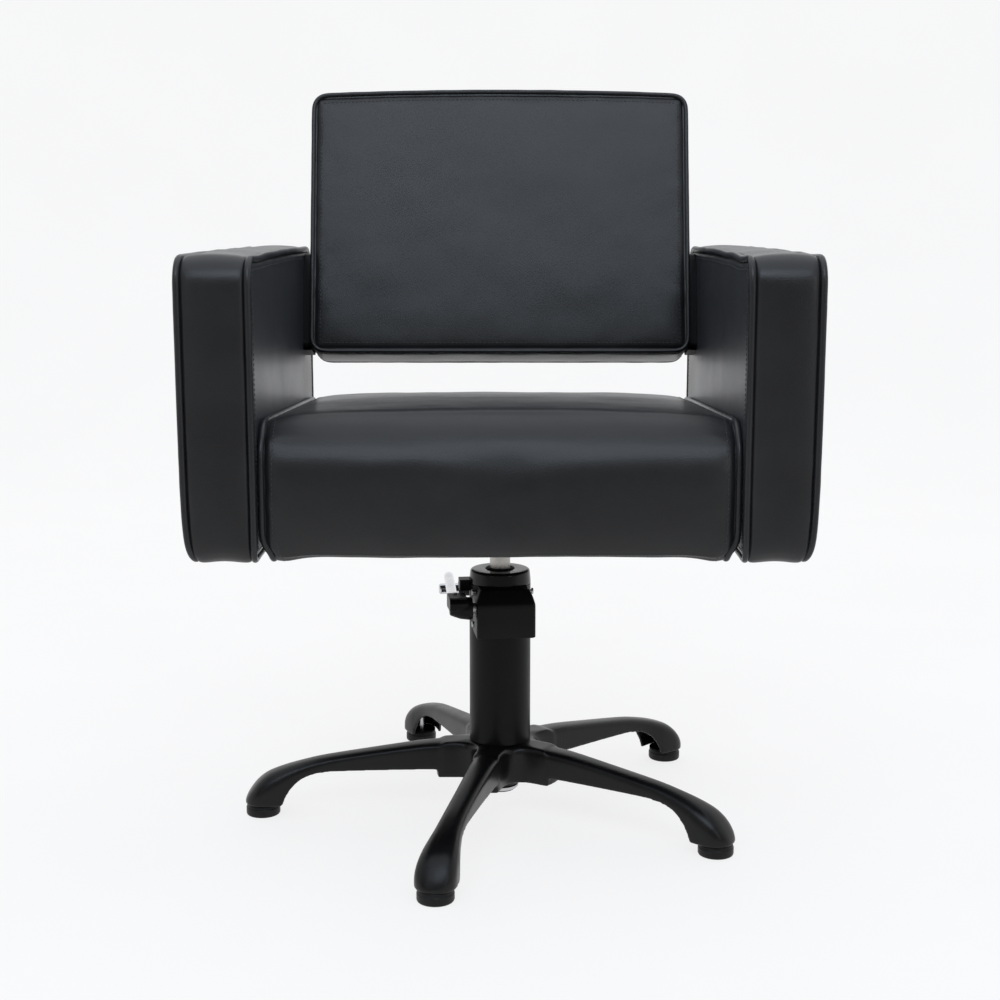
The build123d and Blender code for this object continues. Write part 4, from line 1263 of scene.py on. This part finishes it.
def add_floor():
    """A round pale floor that sweeps up into a wall."""
    bend = [
        (ROOM_R - ROOM_BEND + ROOM_BEND * math.sin(a), ROOM_BEND - ROOM_BEND * math.cos(a))
        for a in (math.pi / 2 * step / 16 for step in range(17))
    ]
    rings = turned_rings([(FLOOR_R, 0.0), *bend, (ROOM_R, ROOM_H)], (0.0, ROOM_Y, 0.0), 128)
    verts, faces = loft(rings, capped=False)
    centre = len(verts)
    faces += [(centre, (turn + 1) % 128, turn) for turn in range(128)]
    floor = new_piece("studio_floor", [*verts, Vector((0.0, ROOM_Y, 0.0))], faces)
    floor.data.materials.append(glowing_floor_paint())


def area_light(name, place, target, size, power, color=(1.0, 1.0, 1.0)):
    """A soft rectangular light at place, facing target."""
    data = bpy.data.lights.new(name, "AREA")
    data.shape = "RECTANGLE"
    data.size, data.size_y = size
    data.energy = power
    data.color = color
    light = bpy.data.objects.new(name, data)
    light.location = place
    light.rotation_euler = (Vector(target) - Vector(place)).to_track_quat("-Z", "Y").to_euler()
    bpy.context.scene.collection.objects.link(light)


def sky(tree):
    """The room's walls: brighter overhead than at eye level."""
    place = tree.nodes.new("ShaderNodeTexCoord")
    split = tree.nodes.new("ShaderNodeSeparateXYZ")
    level = tree.nodes.new("ShaderNodeValToRGB")
    for stop, position, color in zip(level.color_ramp.elements, (0.05, 0.62), (SKY_LEVEL, SKY_TOP)):
        stop.position = position
        stop.color = (*color, 1.0)
    tree.links.new(place.outputs["Generated"], split.inputs["Vector"])
    tree.links.new(split.outputs["Z"], level.inputs["Fac"])
    tree.links.new(level.outputs["Color"], tree.nodes["Background"].inputs["Color"])


def add_lights():
    """A pale room with a large soft light overhead, one on the backdrop and two at the sides."""
    world = bpy.data.worlds.new("studio")
    world.use_nodes = True
    sky(world.node_tree)
    bpy.context.scene.world = world
    area_light("key", (0.0, -2.3, 2.6), (0.0, 0.0, 0.6), (2.8, 1.3), 35.0, (0.76, 0.87, 1.0))
    area_light("top", (0.0, -0.2, 2.9), (0.0, 0.0, 0.4), (3.0, 2.4), 17.0, (0.90, 0.95, 1.0))
    area_light("backdrop", (0.0, 1.6, 3.4), (0.0, 3.2, 0.9), (4.0, 1.0), 8.0)
    area_light("left", (-1.5, -2.3, 1.2), (0.0, 0.0, 0.5), (0.45, 1.3), 1.6)
    area_light("right", (1.7, -2.1, 1.2), (0.0, 0.0, 0.5), (0.6, 1.3), 4.5)
    scene = bpy.context.scene
    scene.view_settings.view_transform = "Standard"
    scene.view_settings.look = "None"


# ---- the scene ----


add_camera()
dress_cad_nodes()
add_arm("left", 1)
add_arm("right", 2)
add_seat()
add_back()
add_star_base()
add_pump_cover()
add_pump_head()
add_lever_hub()
add_floor()
add_lights()
